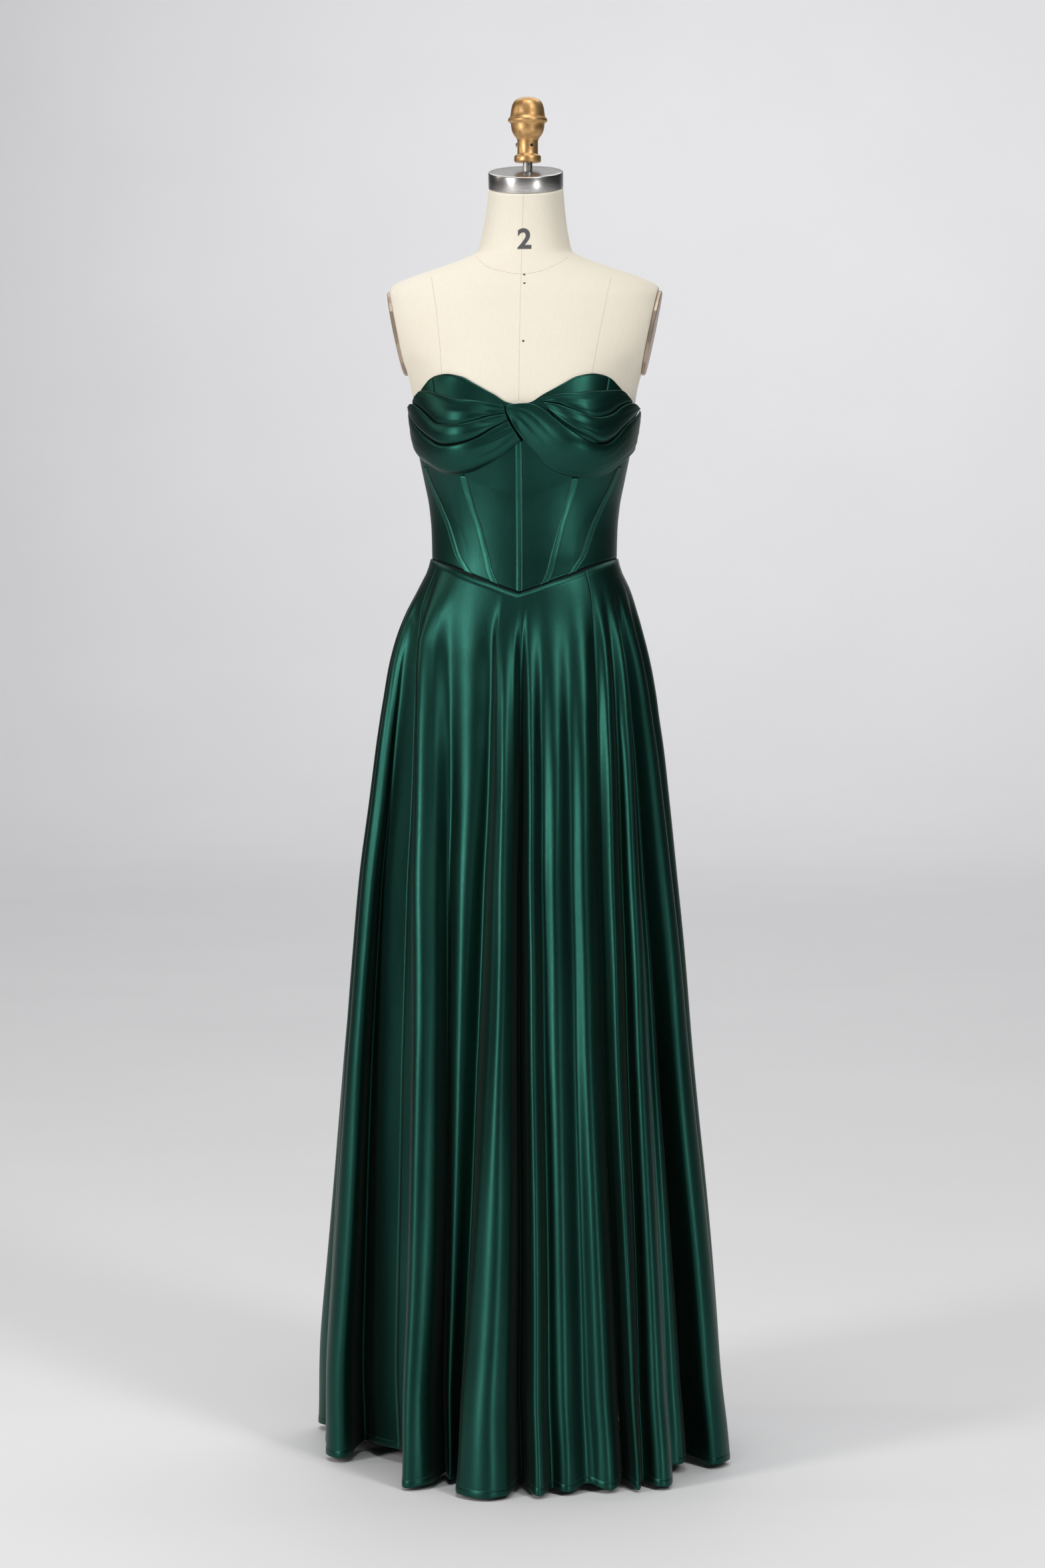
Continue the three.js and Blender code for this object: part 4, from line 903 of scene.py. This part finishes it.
# seams of the cover: name, then [turn, height] down the seam
COVER_SEAMS = (
    ("cover_seam_front", [[0, 1600], [0, 1560], [0, 1520], [0, 1480], [0, 1420], [0, 1370], [0, 1334]]),
    ("cover_seam_back", [[180, 1600], [180, 1560], [180, 1520], [180, 1480], [180, 1400], [180, 1322]]),
)
# how far a seam's thread is off the cover
SEAM_OFF = -0.1


def filled(rows, each):
    """The rows of a path with more points between them."""
    rows = np.array(rows, float)
    spread = np.linspace(0, len(rows) - 1, each * len(rows))
    return np.stack([np.interp(spread, np.arange(len(rows)), rows[:, k]) for k in (0, 1)], -1)


for name, rows in COVER_SEAMS:
    turn, height = filled(rows, 12).T
    tube(name, form_point(turn, height, SEAM_OFF), 0.3, SEAM_THREAD)


def on_front(flat, lift):
    """Points given as [x, height], laid on the form's front."""
    half_turn = np.linspace(-84, 84, 673)
    at = []
    for x, height in flat:
        row = form_point(half_turn, np.full_like(half_turn, height), lift)
        at.append([np.interp(x, row[:, 0], row[:, k]) for k in range(3)])
    return np.array(at)


# seams of the cover over the front: name, then [x, height] along the seam
FRONT_SEAMS = (
    ("cover_seam_neck", [[-58, 1515], [-52, 1508], [-45, 1502], [-35, 1497.5], [-23.5, 1494.3],
                         [-10, 1491.6], [0, 1491], [10, 1491.6], [24, 1494.5], [35, 1498.5], [45, 1504],
                         [52, 1508.5], [57, 1513]]),
    ("cover_seam_shoulder_left", [[-113, 1488], [-110, 1475], [-105, 1448], [-100, 1405], [-97, 1367]]),
    ("cover_seam_shoulder_right", [[111, 1486], [108, 1472], [104, 1448], [96, 1405], [89, 1366]]),
)
for name, rows in FRONT_SEAMS:
    tube(name, on_front(filled(rows, 8), SEAM_OFF), 0.32, SEAM_THREAD)

# the plain size number: its lower left and upper right corners as [x, height]
NUMERAL = {"low": np.array([-5.2, 1524.3]), "high": np.array([12.2, 1553.8])}
NUMERAL_BOLD = 0.028
NUMERAL_LIFT = 0.25


def size_numeral():
    """The plain size number on the neck."""
    data = bpy.data.curves.new("size_numeral_text", "FONT")
    data.body = "2"
    data.size = 1.0
    data.offset = NUMERAL_BOLD
    text = bpy.data.objects.new("size_numeral_text", data)
    bpy.context.scene.collection.objects.link(text)
    bpy.context.view_layer.update()
    mesh = bpy.data.meshes.new_from_object(text)
    bpy.data.objects.remove(text)
    work = bmesh.new()
    work.from_mesh(mesh)
    bmesh.ops.remove_doubles(work, verts=work.verts, dist=1e-5)
    bmesh.ops.triangulate(work, faces=work.faces)
    bmesh.ops.subdivide_edges(work, edges=work.edges, cuts=2, use_grid_fill=True)
    flat = np.array([v.co[:2] for v in work.verts])
    faces = [[v.index for v in face.verts] for face in work.faces]
    work.free()
    low, high = flat.min(axis=0), flat.max(axis=0)
    share = (flat - low) / (high - low)
    place = NUMERAL["low"] + share * (NUMERAL["high"] - NUMERAL["low"])
    make("size_numeral", on_front(place, NUMERAL_LIFT), faces, INK)


size_numeral()

# pins in the cover: turn, height
PINS = ((1, 1490), (1, 1479), (1, 1407))
PIN_RADIUS = 1.5
PIN_DOME = 0.7
for count, (turn, height) in enumerate(PINS):
    rim = np.arange(12) * math.pi / 6
    centre = form_point(np.array([float(turn)]), np.array([float(height)]), 0.2)[0]
    dome = [centre + [0, -PIN_DOME, 0]]
    dome += [centre + [PIN_RADIUS * math.cos(a), 0, PIN_RADIUS * math.sin(a)] for a in rim]
    fan = [(0, 1 + (k + 1) % 12, 1 + k) for k in range(12)] + [tuple(range(1, 13))]
    mend_normals(make(f"pin_{count + 1}", dome, fan, PIN_HEAD))


# turned pieces
def turned(name, rows, sides, place, look, replaced):
    """A closed solid of revolution from rows of radius and height."""
    angle = np.arange(sides) * 2 * math.pi / sides
    rows = np.array(rows, float)
    ring = np.stack([np.cos(angle), np.sin(angle)], -1)
    grid = np.concatenate([rows[:, 0][:, None, None] * ring[None],
                           np.repeat(rows[:, 1][:, None, None], sides, axis=1)], axis=-1)
    make(name, place(grid).reshape(-1, 3), ring_faces(len(rows), sides), look, replaced)


def neck_top(points):
    lean = math.atan(NECK["tilt"])
    x, y, lift = points[..., 0], points[..., 1], points[..., 2]
    return np.stack([x + NECK["aside"], y * math.cos(lean) - NECK["lean"] - lift * math.sin(lean),
                     NECK["top"] + y * math.sin(lean) + lift * math.cos(lean)], -1)


CAP_ROWS = [
    [CAP["radius"] - 0.8, 0.3], [CAP["radius"] - 0.2, 0.5], [CAP["radius"], 1.1],
    [CAP["radius"], CAP["high"] - CAP["edge"]], [CAP["radius"] - 0.2, CAP["high"] - 0.9],
    [CAP["radius"] - 0.6, CAP["high"] - 0.35], [CAP["radius"] - 1.6, CAP["high"]],
    [CAP["radius"] - 6, CAP["high"] + 0.05], [12, CAP["high"] + 0.4], [1, CAP["high"] + 0.4],
]
turned("neck_cap_fine", CAP_ROWS, 96, neck_top, STEEL, ("neck_cap",))

for name, look in (("knob_rod", STEEL), ("knob", GOLD), ("knob_screw", STEEL), ("stand_pole", STEEL),
                   ("stand_foot", IRON), ("arm_plate_left", PLATE_PAINT), ("arm_plate_right", PLATE_PAINT),
                   ("zip_slider", ZIP_PAINT), ("zip_pull", ZIP_PAINT)):
    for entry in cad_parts[name].material_slots:
        entry.material = look

# the knob, upward: radius, height
KNOB_ROWS = [
    [14.6, 1632.2], [15.9, 1632.4], [16.7, 1633.4], [16.8, 1636], [16.7, 1639.3], [16.1, 1640.6],
    [14.6, 1641.4], [13.2, 1642], [12.9, 1643.2], [12.9, 1650], [12.9, 1657.4], [13.1, 1659.4],
    [14.0, 1661.8], [15.8, 1664.2], [17.6, 1666.6], [19.2, 1669.6], [20.2, 1673], [20.8, 1677],
    [21.1, 1680.2], [21.9, 1681.3], [23.6, 1682.2], [24.5, 1683.4], [24.6, 1685], [23.9, 1686.6],
    [22.4, 1688.2], [21.6, 1690.2], [21.1, 1694], [20.4, 1699], [19.2, 1703.6], [17.4, 1707.2],
    [14.8, 1709.9], [11.0, 1711.8], [6.0, 1712.8], [2.0, 1713],
]
KNOB_PLACE = (5, -NECK["lean"] - CAP["high"] * math.sin(math.atan(NECK["tilt"])))
turned("knob_fine", KNOB_ROWS, 72, lambda grid: grid + [*KNOB_PLACE, 0], GOLD, ("knob",))


HOLE_SIDES = 20


def cross_hole(name, radius, start, end, turn, height):
    """A short plug of painted shade where a hole opens in the knob's neck."""
    away = np.array([math.sin(math.radians(turn)), -math.cos(math.radians(turn)), 0])
    aside = np.array([-away[1], away[0], 0])
    angle = np.arange(HOLE_SIDES) * 2 * math.pi / HOLE_SIDES
    ring = aside * np.cos(angle)[:, None] + np.array([0, 0, 1]) * np.sin(angle)[:, None]
    centre = np.array([*KNOB_PLACE, height])
    points = np.concatenate([centre + away * reach + radius * ring for reach in (start, end)])
    mend_normals(make(name, points, ring_faces(2, HOLE_SIDES), HOLE_SHADE_PAINT))


cross_hole("knob_hole_shade", radius=2.1, start=12.0, end=12.98, turn=27, height=1653)


# studio, in metres
def light(name, place, target, radiance, wide, high, colour):
    data = bpy.data.lights.new(name, "AREA")
    data.energy = radiance * math.pi * wide * high
    data.color = colour
    data.shape = "RECTANGLE"
    data.size = wide
    data.size_y = high
    lamp = bpy.data.objects.new(name, data)
    lamp.location = place
    lamp.rotation_euler = (Vector(target) - Vector(place)).to_track_quat("-Z", "Y").to_euler()
    bpy.context.scene.collection.objects.link(lamp)


# name, place, target, radiance, width, height, colour
LIGHTS = (
    ("key_left", (-3.1, -3.3, 1.7), (0, 0, 0.95), 14.7, 0.9, 2.5, (1.0, 0.98, 0.96)),
    ("key_right", (2.5, -3.4, 3.5), (0, 0, 1.1), 13.6, 0.8, 2.0, (1.0, 0.99, 0.97)),
    ("low_right", (2.7, -3.3, 0.22), (0, 0, 1.1), 24.0, 0.6, 0.4, (1.0, 0.99, 0.97)),
    ("front_fill", (0.9, -5.0, 3.4), (0, 0, 0.9), 0.9, 1.4, 1.2, (1, 1, 1)),
    ("top", (0.0, -1.2, 4.6), (0, -0.2, 0.4), 5.2, 2.4, 1.4, (1, 1, 1)),
    ("rim_left", (-3.4, -0.2, 2.5), (0, 0, 1.2), 6.0, 0.5, 1.4, (1.0, 0.9, 0.8)),
    ("floor_wash", (0.0, 5.2, 6.4), (0, 5.8, 0.0), 1.45, 9.0, 8.6, (1, 1, 1)),
    ("backdrop_wash", (0.0, 11.3, 4.6), (0, 14.0, 0.6), 3.0, 8.0, 1.4, (1, 1, 1)),
)
for entry in LIGHTS:
    light(*entry)

world = bpy.data.worlds.new("studio")
world.use_nodes = True
world.node_tree.nodes["Background"].inputs["Color"].default_value = (0.9, 0.92, 0.95, 1)
world.node_tree.nodes["Background"].inputs["Strength"].default_value = 0.03
bpy.context.scene.world = world
bpy.context.scene.view_settings.view_transform = "Standard"


# where the floor starts to curve up, beyond the views from behind, its radius, top, reach and half width
BACK_AT, BACK_BEND, BACK_TOP = 10.4, 4.0, 7.0
FLOOR_REACH = FLOOR_HALF = 14.0
PAPER = ((0.3, (0.88, 0.88, 0.895)), (0.7, (0.90, 0.90, 0.915)))


def backdrop():
    """A pale floor that curves up into the background."""
    rows = [(-FLOOR_REACH, 0.0), (0.0, 0.0), (BACK_AT, 0.0)]
    rows += [(BACK_AT + BACK_BEND * math.sin(a), BACK_BEND - BACK_BEND * math.cos(a))
             for a in np.linspace(0.1, math.pi / 2, 16)]
    rows.append((BACK_AT + BACK_BEND, BACK_TOP))
    points = [(x, y, z) for y, z in rows for x in (-FLOOR_HALF, FLOOR_HALF)]
    faces = [(2 * k, 2 * k + 1, 2 * k + 3, 2 * k + 2) for k in range(len(rows) - 1)]
    mesh = bpy.data.meshes.new("studio_floor")
    mesh.from_pydata(points, [], faces)
    mesh.shade_smooth()

    def build(tree, shader):
        tone = ramp(tree, noise(tree, 1.5), PAPER)
        tree.links.new(tone, shader.inputs["Base Color"])
        shader.inputs["Roughness"].default_value = 0.6

    mesh.materials.append(material("studio_paper", build))
    floor = bpy.data.objects.new("studio_floor", mesh)
    bpy.context.scene.collection.objects.link(floor)


backdrop()

# the photograph's camera: width, focal length and shift in its pixels, then place and turn
IMAGE_WIDE = 1568
FOCAL = 6547.6
SHIFT = -3
SENSOR = 36.0
DISTANCE = 5.5
EYE = 1.17
AZIMUTH = math.radians(4)
DOWNWARD = 3.287
camera_data = bpy.data.cameras.new("camera")
camera_data.sensor_fit = "HORIZONTAL"
camera_data.sensor_width = SENSOR
camera_data.lens = FOCAL / IMAGE_WIDE * SENSOR
camera_data.shift_x = SHIFT / IMAGE_WIDE
camera_data.clip_end = 50
camera = bpy.data.objects.new("camera", camera_data)
camera.location = (DISTANCE * math.sin(AZIMUTH), -DISTANCE * math.cos(AZIMUTH), EYE)
camera.rotation_euler = (math.radians(90 - DOWNWARD), 0, AZIMUTH)
bpy.context.scene.collection.objects.link(camera)
bpy.context.scene.camera = camera
